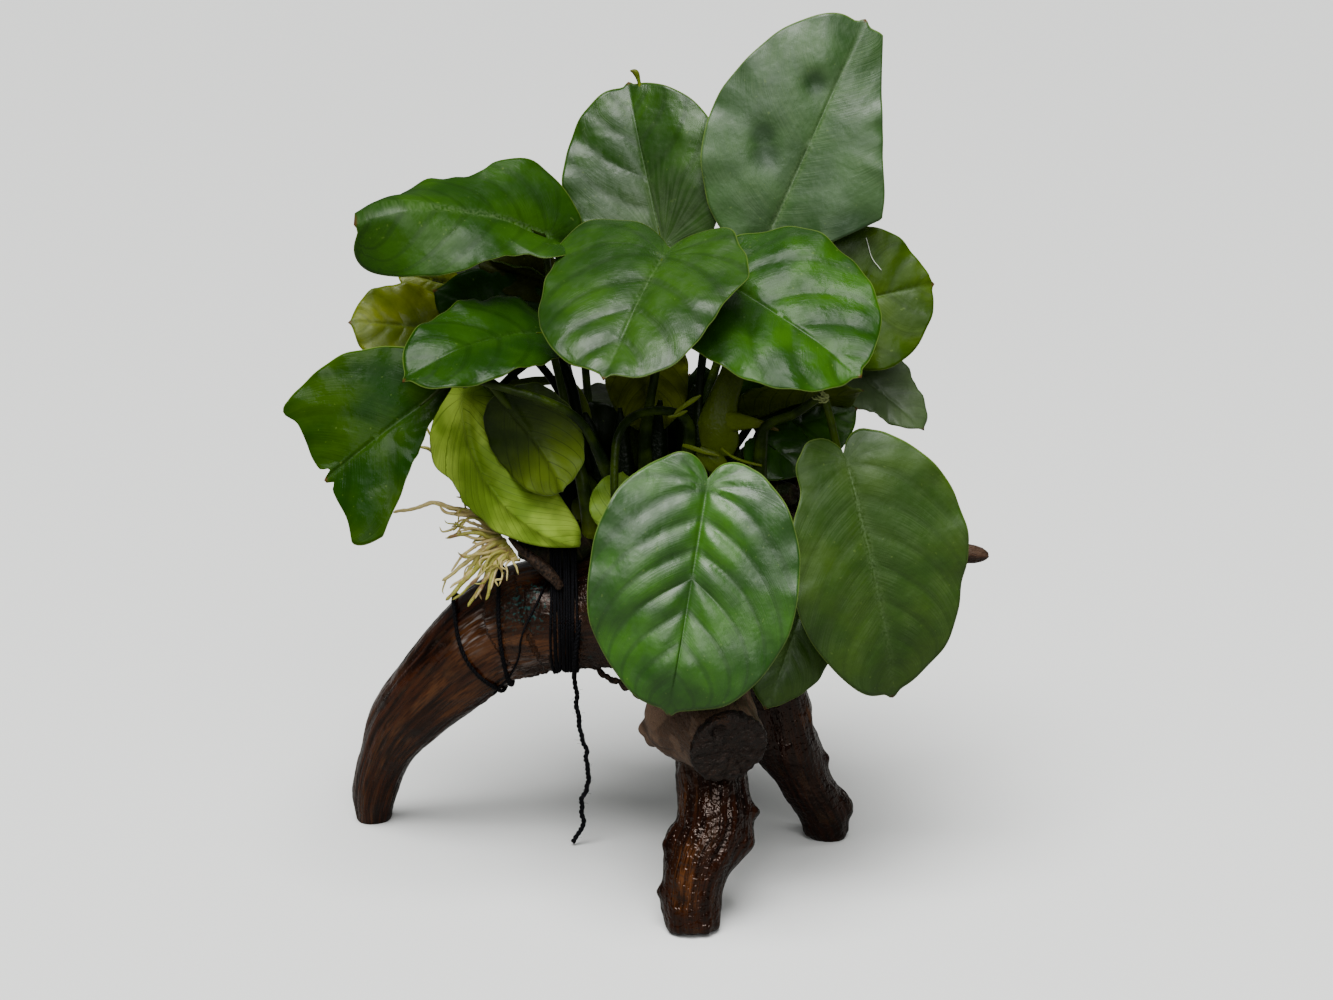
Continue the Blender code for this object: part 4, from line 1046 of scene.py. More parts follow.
LEAVES = [
    leaf("top_right", (269, 60, 1667), (508, 170, 2188), (0.05, -0.93, 0.35), 540, (110, 110),
         trims=((-67, 278), (-132, 92)), heel=0.15, arch=16, curl=-16, look="veiled",
         quilt=(0.1, 0.06), swells=((0, 5, -0.045),),
         dents=((375, 52, 34, -12), (160, 88, 42, -12), (205, 115, 36, -9), (300, -100, 100, 10),
                (460, 40, 70, 10), (500, -170, 90, -35), (75, -190, 65, -8))),
    leaf("top_middle", (-10, 130, 1610), (-100, 280, 2020), (-0.2, -0.92, 0.3), 450, (-40, 125),
         heel=0.12, fold=(20, 10), look="bloomed", quilt=(0.8, 0.3), spacing=0.2,
         swells=((0, 6, -0.035),), dents=((270, -125, 45, 12), (150, -110, 60, 14))),
    leaf("middle", (-8, -160, 1624), (-146, -520, 1383), (-0.18, -0.62, 0.76), 530, (-30, 70),
         heel=0.3, curl=-26, notch=0.62, look="hazy",
         swells=((-108, 26, 0.42), (52, 20, -0.18), (136, 16, 0.18), (0, 8, -0.03)),
         quilt=(0.25, 1.5), spacing=0.2),
    leaf("middle_right", (148, -120, 1551), (470, -360, 1362), (0.22, -0.74, 0.62), 490, (110, 50),
         heel=0.28, arch=18, look="bold", wave=7, swells=((75, 38, 0.12), (0, 6, -0.03)),
         quilt=(0.8, 1.3), spacing=0.24),
    leaf("top_left", (-300, 60, 1644), (-788, -100, 1690), (-0.05, -0.6, 0.8), 420, (-148, 132),
         heel=0.18, arch=58, fold=(34, -46), trims=((-100, 178),), ovate=0.05, look="satin",
         swells=((0, 4, -0.06), (11, 8, 0.1), (48, 15, -0.28), (-40, 11, -0.2), (-74, 14, 0.16)),
         dents=((420, -20, 130, 35),), quilt=(0.25, 0.25)),
    leaf("middle_left", (-288, -80, 1422), (-622, -360, 1366), (-0.1, -0.62, 0.78), 300, (-195, 30),
         heel=0.12, arch=40, look="dark", swells=((17, 12, 0.1),), quilt=(0.6, 0.6), spacing=0.3),
    leaf("far_left", (-567, -220, 1297), (-925, -350, 1026), (-0.25, -0.9, 0.34), 470, (-125, 22),
         meets="margin", trims=((-11, 342), (118, 27)), heel=0.12, arch=16, ovate=-0.05,
         look="deep", via=((-165, -240, 1140), (-243, -280, 1261), (-441, -290, 1335)),
         swells=((-96, 20, 0.1), (-31, 3, 0.05), (-2, 1.6, -0.07), (3, 1.2, -0.04), (26, 6, 0.08)),
         quilt=(0.35, 0.35), spacing=0.3),
    leaf("hanging_left", (-503, -100, 1264), (-203, -180, 885), (0.8, 0.25, 0.55), 280, (-345, 110),
         meets="margin", heel=0.08, arch=-84, roll=74, curl=14, notch=0.15,
         via=((-385, 20, 1010), (-480, 25, 1230)),
         swells=((92, 20, 0.3), (22, 16, -0.32), (7, 6, -0.1)), quilt=(0.35, 0.35), spacing=0.12,
         lean=1.5, under="bright"),
    leaf("inner_left", (-400, -195, 1270), (-253, -245, 1050), (0.1, 0.92, 0.2), 250, (-160, 85),
         meets="margin", heel=0.1, arch=50, notch=0.15, under="dim", quilt=(0.4, 0.4), lean=1.0,
         via=((-260, -80, 1100), (-350, -140, 1235))),
    leaf("pale_left", (-590, 120, 1394), (-816, 60, 1422), (-0.1, -0.85, 0.5), 240, (-185, 128),
         heel=0.12, look="olive"),
    leaf("right", (425, 60, 1461), (682, 60, 1523), (0.42, -0.8, 0.4), 390, (190, 165), heel=0.22,
         arch=24, look="dusty", quilt=(0.7, 0.7)),
    leaf("low_right", (477, 130, 1289), (677, 70, 1133), (0.25, -0.8, 0.5), 220, (225, 150),
         arch=24, look="lit_grey", quilt=(0.5, 0.5), swells=((-30, 22, -0.3), (27, 12, -0.12))),
    leaf("front", (96, -480, 1116), (8, -620, 602), (0.0, -0.96, 0.28), 510, (30, 10), heel=0.16,
         arch=28, notch=0.75, look="front", quilt=(0.95, 0.85), wave=7, swells=((38, 22, 0.05),),
         spacing=0.145, dents=((440, 10, 100, 34), (240, -150, 90, 10))),
    leaf("front_right", (440, -300, 1140), (570, -320, 550), (0.22, -0.96, 0.16), 460, (270, 5),
         arch=34, notch=0.75, ovate=0.06, look="matt", quilt=(0.5, 0.5),
         swells=((62, 28, 0.17), (-70, 20, -0.26), (-126, 14, 0.1)),
         via=((240, -150, 1165), (262, -168, 1208), (317, -205, 1238), (376, -243, 1286),
              (394, -250, 1272))),
    leaf("low_front", (362, -180, 790), (250, -320, 512), (0.25, -0.92, 0.25), 230, (225, -10),
         meets="margin", arch=24, notch=0.15, look="matt",
         via=((300, -170, 965), (360, -195, 890))),
    leaf("young_front", (-133, -280, 976), (-109, -240, 1096), (0.1, 0.95, 0.2), 140, (45, 35),
         meets="folded", heel=0.16, arch=16, under="young",
         via=((54, -140, 1200), (-50, -185, 1240), (-121, -255, 1190))),
    leaf("shaded_right", (219, 0, 1197), (496, -50, 1261), (0.1, 0.55, 0.8), 240, (160, 120),
         arch=24, look="dark"),
    leaf("shaded_low", (237, -45, 1142), (345, -95, 1062), (0.1, -0.75, 0.65), 190, (165, 60),
         arch=24, under="shade"),
    leaf("inner_middle", (-65, 30, 1400), (-40, 0, 1140), (0.15, 0.9, 0.3), 230, (-95, 100),
         meets="margin", arch=16, notch=0.15, under="olive",
         via=((-75, 85, 1150), (-72, 95, 1350))),
    leaf("back_left", (-310, 230, 1500), (-600, 450, 1460), (-0.15, 0.45, 0.88), 330, (-140, 165),
         heel=0.16, arch=34, look="dark", under="shade"),
    leaf("back_middle", (-40, 240, 1560), (-160, 600, 1640), (0.0, 0.1, 0.99), 360, (-10, 165),
         heel=0.16, arch=38, under="shade"),
    leaf("back_right", (220, 260, 1480), (480, 580, 1450), (0.2, 0.4, 0.9), 360, (100, 165),
         heel=0.16, arch=38, look="dark", under="shade"),
    leaf("back_low", (-80, 300, 1180), (-170, 640, 930), (-0.05, 0.7, 0.7), 330, (-70, 190),
         heel=0.16, arch=38, under="shade"),
]
# Dark small leaves deep inside the plant, which close it up behind the stalks. Their darkness is
# painted shade.
SHADED_LEAVES = [
    leaf("shaded_top", (-318, 140, 1390), (-599, 150, 1490), (0.05, -0.9, 0.35), 225, (-170, 120),
         look="shade_dusk", under="shade"),
    leaf("olive_top", (-560, 190, 1500), (-702, 180, 1532), (0.0, -0.9, 0.4), 110, (-190, 130),
         look="olive"),
    leaf("shaded_far", (262, 50, 1130), (492, 40, 1200), (0.0, -0.85, 0.5), 240, (200, 110),
         under="shade"),
    leaf("shaded_brown", (-270, 180, 1500), (-490, 180, 1560), (0.0, -0.9, 0.4), 140, (-150, 145),
         look="umber", under="shade"),
    leaf("shaded_wide", (190, 60, 1225), (450, 60, 1290), (0.0, -0.85, 0.5), 190, (185, 120),
         heel=0.16, look="deep", under="shade"),
    leaf("shaded_old_left", (-130, 150, 990), (-290, 160, 1170), (0.0, -0.95, 0.3), 270, (-120, 150),
         look="shade_black", under="shade"),
    leaf("shaded_old_middle", (10, 150, 980), (60, 160, 1260), (0.0, -0.95, 0.3), 270, (10, 150),
         look="shade_black", under="shade"),
]
GRID_STEP = 0.0010
RING_STEP = 0.00085
BLADE_MIDDLE = 0.40
VEIN_BOW = 0.30
VEIN_SPREAD = 0.60
FAN_STEP = radians(30)
QUILT_HEIGHT = 0.00120
QUILT_REACH = 0.62
QUILT_START = 0.0022
MIDRIB_DEPTH = 0.00038
MIDRIB_WIDTH = 0.0007
TROUGH_DEPTH = 0.00025
TROUGH_WIDTH = 0.0030
BUCKLE_HEIGHT = 0.0013
SPINE_HEIGHT = 0.00085
SPINE_WIDTH = 0.0012
RIB_MARK_WIDTH = 0.0011
TIP_MARK_REACH = 0.0010
TIP_PULL = 0.030
TIP_PULL_WIDTH = 0.025
# How far the underside's pattern lies from the upper side's, and where the painted shade on one
# underside gives way to painted light.
UNDER_SHIFT = 0.3
DIM_FROM = 0.307
DIM_TO = 0.325
HAIR_COUNT = 26.0
HAIR_STRETCH = 120.0
PALE_HAIRS = ("veiled", "matt", "lit_grey")
DARK_LOOKS = ("shade_black", "shade_dusk", "umber")
BLOOM_COUNT = 16.0
BLOOM_GREY = (0.070, 0.105, 0.050, 1.0)
# The painted shade in the deeper dents of the leaves: its green, and how deep a dent must be to get
# it.
HOLLOW_SHADE_GREEN = (0.0040, 0.030, 0.0003, 1.0)
HOLLOW_DEPTH = -0.0007
# The finishes of the upper side: two greens, how rough, how glossy, how pale the midrib is, how
# plain the hairlines are, and how dark the painted shade in the vein furrows is.
Look = namedtuple("Look", "deep light rough gloss rib lines grooves")
LOOKS = {
    "fresh": Look((0.0120, 0.050, 0.0002), (0.034, 0.115, 0.0004), 0.36, 0.27, 0.10, 0.25, 0.40),
    "front": Look((0.0095, 0.050, 0.0004), (0.029, 0.112, 0.0012), 0.43, 0.46, 0.02, 0.22, 0.38),
    "bold": Look((0.0080, 0.040, 0.0001), (0.024, 0.090, 0.0002), 0.34, 0.15, 0.15, 0.18, 0.30),
    "hazy": Look((0.0090, 0.038, 0.0006), (0.022, 0.072, 0.0012), 0.39, 0.28, 0.35, 0.20, 0.35),
    "bloomed": Look((0.0090, 0.038, 0.0006), (0.022, 0.072, 0.0012), 0.37, 0.28, 0.35, 0.20, 0.35),
    "veiled": Look((0.0140, 0.051, 0.0056), (0.026, 0.078, 0.0110), 0.48, 0.50, 0.60, 0.18, 0.06),
    "dark": Look((0.0060, 0.032, 0.0001), (0.0150, 0.056, 0.0001), 0.30, 0.13, 0.12, 0.20, 0.35),
    "deep": Look((0.0050, 0.028, 0.0001), (0.0200, 0.054, 0.0001), 0.26, 0.04, 0.12, 0.25, 0.25),
    "matt": Look((0.0170, 0.052, 0.0010), (0.032, 0.075, 0.0024), 0.50, 0.30, 0.60, 0.14, 0.20),
    "dusty": Look((0.0190, 0.048, 0.0003), (0.044, 0.088, 0.0008), 0.42, 0.11, 0.30, 0.20, 0.30),
    "satin": Look((0.0080, 0.037, 0.0002), (0.0190, 0.066, 0.0004), 0.40, 0.14, 0.60, 0.20, 0.30),
    # Painted light: a brighter grey-green for a leaf that catches the light from the sky.
    "lit_grey": Look((0.0500, 0.090, 0.0250), (0.090, 0.140, 0.0500), 0.50, 0.45, 0.40, 0.25, 0.20),
    "olive": Look((0.0550, 0.085, 0.0002), (0.140, 0.170, 0.0008), 0.40, 0.20, 0.30, 0.30, 0.20),
    # Painted shade: near black and deep green, for leaves deep inside the plant.
    "shade_black": Look((0.0010, 0.0035, 0.0001), (0.0030, 0.0085, 0.0001), 0.35, 0.10, 0.10, 0.05, 0.2),
    "shade_dusk": Look((0.0030, 0.0190, 0.0001), (0.0080, 0.0320, 0.0001), 0.42, 0.05, 0.10, 0.10, 0.2),
    "umber": Look((0.0120, 0.0180, 0.0003), (0.030, 0.036, 0.0006), 0.45, 0.05, 0.10, 0.10, 0.1),
}
MARGIN_PALE = (0.150, 0.230, 0.040, 1.0)
RIB_PALE = (0.100, 0.160, 0.060, 1.0)
TIP_BROWN = (0.080, 0.040, 0.010, 1.0)
# The undersides: two greens, and the colour of the veins. The brightest holds painted light on a
# paler underside, one is darkened all over as painted shade, and one turns from painted shade near
# the stalk to painted light further out.
UNDERSIDES = {
    # Painted light on a paler underside.
    "bright": ((0.160, 0.285, 0.0120), (0.410, 0.600, 0.0600), (0.050, 0.110, 0.0030)),
    "young": ((0.070, 0.140, 0.0060), (0.190, 0.310, 0.0300), (0.035, 0.085, 0.0025)),
    "plain": ((0.045, 0.078, 0.0014), (0.090, 0.125, 0.0045), (0.018, 0.040, 0.0010)),
    "olive": ((0.075, 0.100, 0.0008), (0.130, 0.165, 0.0025), (0.030, 0.045, 0.0006)),
    "dim": ((0.008, 0.020, 0.0003), (0.105, 0.165, 0.0080), (0.012, 0.024, 0.0004)),
    "shade": ((0.0120, 0.0340, 0.0002), (0.0250, 0.0560, 0.0005), (0.0050, 0.0140, 0.0001)),
}
FIBRE_ROUTE = metres((
    (512, 80, 1640), (517, 75, 1621), (527, 63, 1589), (550, 52, 1560),
))
LEAF_FIBRE_RADIUS = 0.00010
FIBRE_WHITE = (0.55, 0.58, 0.50, 1.0)


def margin(item, angle):
    """How far the margin of the flat blade is from the stalk, at angles from the midrib."""
    length = midrib_length(item)
    heel = item.heel * length
    middle, half_length, half_width = (length - heel) / 2, (length + heel) / 2, item.width / 2
    a = (np.cos(angle) / half_length) ** 2 + (np.sin(angle) / half_width) ** 2
    b = -2 * np.cos(angle) * middle / half_length**2
    c = (middle / half_length) ** 2 - 1
    far = (-b + np.sqrt(b * b - 4 * a * c)) / (2 * a)
    far *= 1 - item.notch * hump((pi - np.abs(angle)) / SINUS_SPREAD)
    far *= 1 - TIP_LENGTH + TIP_LENGTH * np.exp(-np.abs(angle) / TIP_SPREAD)
    for direction, distance in item.trims:
        across = np.cos(angle - radians(direction))
        far = np.where(across > 0.05, np.minimum(far, distance / np.maximum(across, 0.05)), far)
    seed = item.width * 7000
    far *= 1 + 0.010 * np.sin(7 * angle + seed) + 0.006 * np.sin(15 * angle + 2 * seed)
    far *= 1 + TIP_PULL * hump(angle / TIP_PULL_WIDTH)
    for direction, wide, more in item.swells:
        apart = (angle - radians(direction) + pi) % (2 * pi) - pi
        far *= 1 + more * hump(apart / radians(wide))
    return far


def midrib_length(item):
    """The length of the bent midrib between the stalk and the tip."""
    half = radians(item.arch) / 2
    return np.linalg.norm(item.tip - item.base) * half / sin(half)


def blade_axes(item):
    """The blade's own directions: along the chord of the midrib, across it, and up."""
    along = unit(item.tip - item.base)
    up = unit(item.face - along * item.face.dot(along))
    return along, np.cross(up, along), up


def bent(item, x, y, lift):
    """Where points of the flat blade lie once bent: x along the midrib, y across, lift off it."""
    length = midrib_length(item)
    bend = radians(item.arch)
    radius = length / bend
    y = y * (1 + item.ovate * (WIDEST_AT - x / length))
    turn = bend * (x / length - 0.5)
    slope = np.radians(item.fold[0] + (item.fold[1] - item.fold[0]) * x / length)
    bow = radians(item.curl) / (item.width / 2)
    lean = slope + bow * np.abs(y)
    across = (np.sin(lean) - np.sin(slope)) / bow * np.sign(y) - lift * np.sin(lean) * np.sign(y)
    rise = (np.cos(slope) - np.cos(lean)) / bow + lift * np.cos(lean)
    roll = radians(item.roll)
    across, rise = (across * cos(roll) + rise * sin(roll), rise * cos(roll) - across * sin(roll))
    chord = np.linalg.norm(item.tip - item.base)
    forward = chord / 2 + (radius + rise) * np.sin(turn)
    upward = radius * (np.cos(turn) - cos(bend / 2)) + rise * np.cos(turn)
    along_axis, across_axis, up_axis = blade_axes(item)
    return (item.base + forward[:, None] * along_axis + across[:, None] * across_axis
            + upward[:, None] * up_axis)


def across_share(item, x, y):
    """How far out from the midrib each point is, as a share of the blade's half width there."""
    length = midrib_length(item)
    heel = item.heel * length
    along = np.clip((2 * x - length + heel) / (length + heel), -0.985, 0.985)
    return np.abs(y) / (item.width / 2 * np.sqrt(1 - along**2))


def veins_at(item, x, y):
    """The count of lateral veins from the stalk to each point. A vein is where it is whole.

    Each vein leaves the midrib at a slant, and bends round to the tip before it meets the margin.
    Behind the first one they fan out into the lobes.
    """
    length = midrib_length(item)
    side = np.abs(y)
    bow = VEIN_BOW * item.width * np.minimum(across_share(item, x, y), 1.1) ** 3
    start = (x - item.lean * side - bow) / (1 + VEIN_SPREAD * side / length)
    first = item.lean * side + VEIN_BOW * item.width * (side / item.width * 2) ** 3
    fan = (np.arctan2(side, x) - np.arctan2(side, first)) / FAN_STEP
    return np.where(start > 0, start / (item.spacing * item.width), -np.maximum(fan, 0))


def round_hump(x, y, reach):
    """A smooth round hump in the flat blade, at places measured from its middle."""
    return np.exp(-((x**2 + y**2) / reach**2))


def relief(item, x, y, share):
    """How far the upper side stands off the bent blade: midrib, quilting, ripples and buckles."""
    size = item.width / 0.050
    length = midrib_length(item)
    count = veins_at(item, x, y)
    out = across_share(item, x, y)
    flat = np.column_stack((x, y, np.full_like(x, item.width)))
    drift = cloud(flat, 48.0 / size, item.width * 700)
    uneven = np.clip(0.80 + 0.8 * cloud(flat, 60.0 / size, item.width * 300), 0.15, 1.5)
    between = 0.5 - 0.5 * np.cos(2 * pi * (count + 0.16 * drift))
    away = 1 - hump(np.abs(y) / (QUILT_START * size))
    fade = away * hump(out / QUILT_REACH) * np.clip(1.2 - 0.5 * x / length, 0.3, 1)
    fade *= np.clip((1 - share) / 0.12, 0, 1)
    quilt = item.quilt[0] + (item.quilt[1] - item.quilt[0]) * np.clip(x / length, 0, 1)
    height = QUILT_HEIGHT * size * quilt * uneven * (between**0.45 - 0.6) * fade
    thin = 1.15 - 0.75 * np.clip(x / length, 0, 1)
    height -= MIDRIB_DEPTH * thin * hump(y / (MIDRIB_WIDTH * thin)) * np.clip(x / 0.002, 0, 1)
    height -= TROUGH_DEPTH * size * hump(y / (TROUGH_WIDTH * size)) * np.clip(x / 0.006, 0, 1)
    buckles = cloud(flat, 52.0 / size, item.width * 900)
    height += BUCKLE_HEIGHT * size * buckles * np.clip(share * 2, 0, 1)
    for at_x, at_y, reach, rise in item.dents:
        height += rise * round_hump(x - at_x, y - at_y, reach)
    around = np.arctan2(y, x - BLADE_MIDDLE * length)
    height += item.wave * share**4 * np.sin(7 * around + item.width * 5000)
    height += 0.5 * item.wave * share**6 * np.sin(17 * around + item.width * 9000)
    return height, count


def even_angles(item, count):
    """Angles of the margin, from the tip round one half to the notch, an even step apart."""
    half = []
    for sign in (1, -1):
        angle = sign * np.linspace(0.0, pi, 721)
        far = margin(item, angle)
        outline = np.column_stack((far * np.cos(angle), far * np.sin(angle), np.zeros(721)))
        lengths = measured(outline)
        half.append(np.interp(np.linspace(0, lengths[-1], count // 2 + 1), lengths, angle))
    return np.concatenate((half[0][:-1], half[1][:0:-1]))


def hairlines(tree, vein, flat):
    """A mask of fine lines that run between the veins and along them."""
    parts = add(tree, "ShaderNodeSeparateXYZ", {0: flat})
    brushed = add(tree, "ShaderNodeCombineXYZ", {
        0: times(tree, vein, HAIR_COUNT),
        1: times(tree, parts.outputs["Y"], HAIR_STRETCH),
        2: times(tree, parts.outputs["Z"], 200.0)})
    faint = ramp(tree, mask(tree, flat, 120.0, 0.35, 0.65), 0.0, 1.0, 0.25, 1.0)
    return times(tree, mask(tree, brushed.outputs[0], 1.0, 0.36, 0.64, 2.0), faint)


def bloom(tree, flat):
    """A mask of pale streaks that fan out from the stalk and fade towards the tip."""
    parts = add(tree, "ShaderNodeSeparateXYZ", {0: flat})
    along, aside = parts.outputs["X"], parts.outputs["Y"]
    squares = plus(tree, times(tree, along, along), times(tree, aside, aside))
    reach = arithmetic(tree, "SQRT", squares)
    fan = add(tree, "ShaderNodeCombineXYZ", {
        0: times(tree, arithmetic(tree, "ARCTAN2", aside, along), BLOOM_COUNT),
        1: times(tree, reach, 60.0)})
    streaks = ramp(tree, mask(tree, fan.outputs[0], 1.0, 0.35, 0.65), 0.0, 1.0, 0.35, 1.0)
    return times(tree, streaks, ramp(tree, reach, 0.030, 0.006, 0.0, 0.60))


def upper_finish(look):
    """Upper side: waxy green, dark hairlines, painted shade in furrows and dents, pale margin, soft
    gloss.
    """
    kind = LOOKS[look]
    deep, rough = kind.deep, kind.rough
    made, tree, surface = finish("leaf upper " + look, rough, Specular_IOR_Level=kind.gloss,
                                 Coat_Weight=kind.gloss * 0.12, Coat_Roughness=0.18)
    vein, edge, rib = (mark(tree, name) for name in ("vein", "edge", "rib"))
    flat = mark(tree, "flat", "Vector")
    patch = mask(tree, flat, 70.0, 0.35, 0.68)
    colour = blend(tree, patch, (*deep, 1.0), (*kind.light, 1.0))
    major = arithmetic(tree, "COSINE", times(tree, vein, 2 * pi))
    lines = hairlines(tree, vein, flat)
    grooves = ramp(tree, major, 0.55, 1.0)
    dark = tuple(c * 0.55 for c in deep) + (1.0,)
    line_colour = RIB_PALE if look in PALE_HAIRS else dark
    colour = blend(tree, times(tree, lines, kind.lines), colour, line_colour)
    # Painted shade: the furrows along the major veins are darkened.
    colour = blend(tree, times(tree, grooves, kind.grooves), colour, dark)
    flecks = mask(tree, flat, 1500.0, 0.30, 0.70)
    pale = times(tree, times(tree, rib, kind.rib), flecks)
    colour = blend(tree, pale, colour, RIB_PALE)
    specks = mask(tree, flat, 900.0, 0.735, 0.78, 1.0)
    colour = blend(tree, times(tree, specks, 0.20), colour, MARGIN_PALE)
    pale_edge = 0.05 if look in DARK_LOOKS else 0.60
    colour = blend(tree, ramp(tree, edge, 0.986, 0.999, 0.0, pale_edge), colour, MARGIN_PALE)
    if look == "bloomed":
        colour = blend(tree, bloom(tree, flat), colour, BLOOM_GREY)
    # Painted shade in the deeper dents.
    hollow_shade = mark(tree, "hollow_shade")
    colour = blend(tree, ramp(tree, hollow_shade, 0.15, 0.85, 0.0, 0.85), colour, HOLLOW_SHADE_GREEN)
    tip = mark(tree, "tip")
    colour = blend(tree, ramp(tree, tip, 0.2, 0.8), colour, TIP_BROWN)
    tree.links.new(colour, surface.inputs["Base Color"])
    film_and_sheen = mask(tree, flat, 240.0, 0.35, 0.70)
    haze = plus(tree, ramp(tree, film_and_sheen, 0.0, 1.0, rough - 0.07, rough + 0.06),
                      times(tree, lines, 0.07))
    tree.links.new(haze, surface.inputs["Roughness"])
    crepe = mask(tree, flat, 520.0, 0.25, 0.75, 4.0)
    leather = mask(tree, flat, 230.0, 0.25, 0.75, 2.0)
    raised = arithmetic(tree, "SUBTRACT", times(tree, crepe, 0.6),
                        times(tree, lines, 0.28))
    raised = plus(tree, raised, times(tree, leather, 1.8))
    bumped(tree, surface, raised, 0.00006)
    return made


def under_finish(kind):
    """The underside: paler and yellower, duller, with the veins showing dark."""
    deep, fresh, veins = ((*colour, 1.0) for colour in UNDERSIDES[kind])
    made, tree, surface = finish("leaf underside " + kind, 0.45, Specular_IOR_Level=0.15)
    vein, edge, rib = (mark(tree, name) for name in ("vein", "edge", "rib"))
    flat = mark(tree, "flat", "Vector")
    patch = mask(tree, flat, 90.0, 0.35, 0.68)
    # Painted shade near the stalk, giving way to painted light further out along the midrib.
    if kind == "dim":
        parts = add(tree, "ShaderNodeSeparateXYZ", {0: flat})
        reached = ramp(tree, parts.outputs["X"], DIM_FROM, DIM_TO)
        patch = plus(tree, times(tree, patch, 0.25), reached)
    colour = blend(tree, patch, deep, fresh)
    major = arithmetic(tree, "COSINE", times(tree, vein, 2 * pi))
    lines = hairlines(tree, vein, flat)
    colour = blend(tree, times(tree, lines, 0.40), colour, veins)
    colour = blend(tree, ramp(tree, major, 0.92, 1.0, 0.0, 0.55), colour, veins)
    colour = blend(tree, times(tree, rib, 0.35), colour, veins)
    colour = blend(tree, ramp(tree, edge, 0.980, 1.0, 0.0, 0.5), colour, MARGIN_PALE)
    tree.links.new(colour, surface.inputs["Base Color"])
    crepe = mask(tree, flat, 480.0, 0.25, 0.75, 4.0)
    raised = plus(tree, crepe, times(tree, lines, 0.6))
    bumped(tree, surface, raised, 0.00006)
    return made


under_greens = {kind: under_finish(kind) for kind in UNDERSIDES}
upper_greens = {look: upper_finish(look) for look in LOOKS}


def blade(item):
    """The leaf blade: two fine skins that meet at a thin margin."""
    length = midrib_length(item)
    girth = 2.2 * (length + item.width) * 0.75
    count = 2 * round(girth / GRID_STEP / 2)
    rings = max(12, round(item.width / 2 / RING_STEP))
    angle = even_angles(item, count)
    far = margin(item, angle)
    edge_x, edge_y = far * np.cos(angle), far * np.sin(angle)
    shares = (np.arange(1, rings + 1) / rings) ** 0.9
    middle = BLADE_MIDDLE * length
    x = np.concatenate(([middle], (middle + shares[:, None] * (edge_x - middle)).ravel()))
    y = np.concatenate(([0.0], (shares[:, None] * edge_y).ravel()))
    y = np.where(np.abs(y) < 1e-7, 1e-7, y)
    share = np.concatenate(([0.0], np.repeat(shares, count)))
    height, vein = relief(item, x, y, share)
    rib = hump(y / RIB_MARK_WIDTH) * np.clip(1.2 - x / length, 0, 1) * (x > -0.001)
    half = BLADE_THICKNESS / 2 * (1 - 0.55 * share**10)
    spine = SPINE_HEIGHT * hump(y / SPINE_WIDTH)
    spine = spine * np.clip(1.05 - x / length, 0, 1) * (x > -0.001)
    upper = bent(item, x, y, height + half)
    under = bent(item, x, y, height - half - spine)
    points = np.vstack((upper, under))
    total = len(x)
    here = np.arange(count)
    beside = (here + 1) % count
    rows = (1 + np.arange(rings - 1) * count)[:, None]
    fan = np.stack((np.zeros(count, dtype=int), 1 + here, 1 + beside), axis=-1)
    quads = np.stack((rows + here, rows + count + here, rows + count + beside, rows + beside),
                     axis=-1).reshape(-1, 4)
    rim = 1 + (rings - 1) * count
    wall = np.stack((rim + here, total + rim + here, total + rim + beside, rim + beside), axis=-1)
    faces = (fan.tolist() + quads.tolist() + (fan[:, ::-1] + total).tolist()
             + (quads[:, ::-1] + total).tolist() + wall.tolist())
    on_top = len(fan) + len(quads)
    kinds = np.concatenate((np.zeros(on_top), np.ones(on_top), np.zeros(len(wall))))
    flat = np.column_stack((x, y, np.full(total, item.width * 3)))
    tip = round_hump(x - far[0], y, TIP_MARK_REACH)
    # The deeper dents, which get painted shade.
    hollow_shade = np.zeros(total)
    for at_x, at_y, reach, rise in item.dents:
        if rise < HOLLOW_DEPTH:
            hollow_shade = np.maximum(hollow_shade, round_hump(x - at_x, y - at_y, reach))
    marks = {"vein": np.tile(vein, 2), "edge": np.tile(share, 2), "rib": np.tile(rib, 2),
             "flat": np.vstack((flat, flat + UNDER_SHIFT)), "tip": np.tile(tip, 2),
             "hollow_shade": np.tile(hollow_shade, 2)}
    finishes = [upper_greens[item.look], under_greens[item.under]]
    covers = [] if item in SHADED_LEAVES else ["leaf_" + item.name]
    piece("blade_" + item.name, points, faces, finishes, "leaf", covers, marks, kinds)


for item in LEAVES + SHADED_LEAVES:
    blade(item)
white_fibre = finish("white fibre", 0.6, Base_Color=FIBRE_WHITE)[0]
fibre_path = smooth_path(FIBRE_ROUTE)
fibre_points, fibre_faces = tube(fibre_path, np.full(len(fibre_path), LEAF_FIBRE_RADIUS), 6)
piece("fibre_on_leaf", fibre_points, fibre_faces, [white_fibre], "leaf")


# Each stalk springs from the rhizome and bends over to its blade. It is round, smooth and solid,
# a little thicker at its foot, and it runs on under the blade as the midrib.
STALK_RADIUS = 0.00104
STALK_FOOT = 1.25
STALK_TOP = 0.90
STALK_LEAD = 0.0030
STALK_BOW = 0.30
STALK_SIDES = 14
STALK_STEP = 0.0006
SHEATH_SHARE = 0.42
SHEATH_SWELL = 0.75
FLARE = 0.30
FLARE_LENGTH = 0.0035
TAPER_LENGTH = 0.0060
SOLID_RADIUS = 0.00115
SOLID_THICKNESS = 0.0008
GAP = 0.0003
STALK_DEEP = (0.0025, 0.0085, 0.0003, 1.0)
STALK_LIGHT = (0.036, 0.066, 0.0016, 1.0)
STALK_FOOT_PALE = (0.170, 0.235, 0.0120, 1.0)
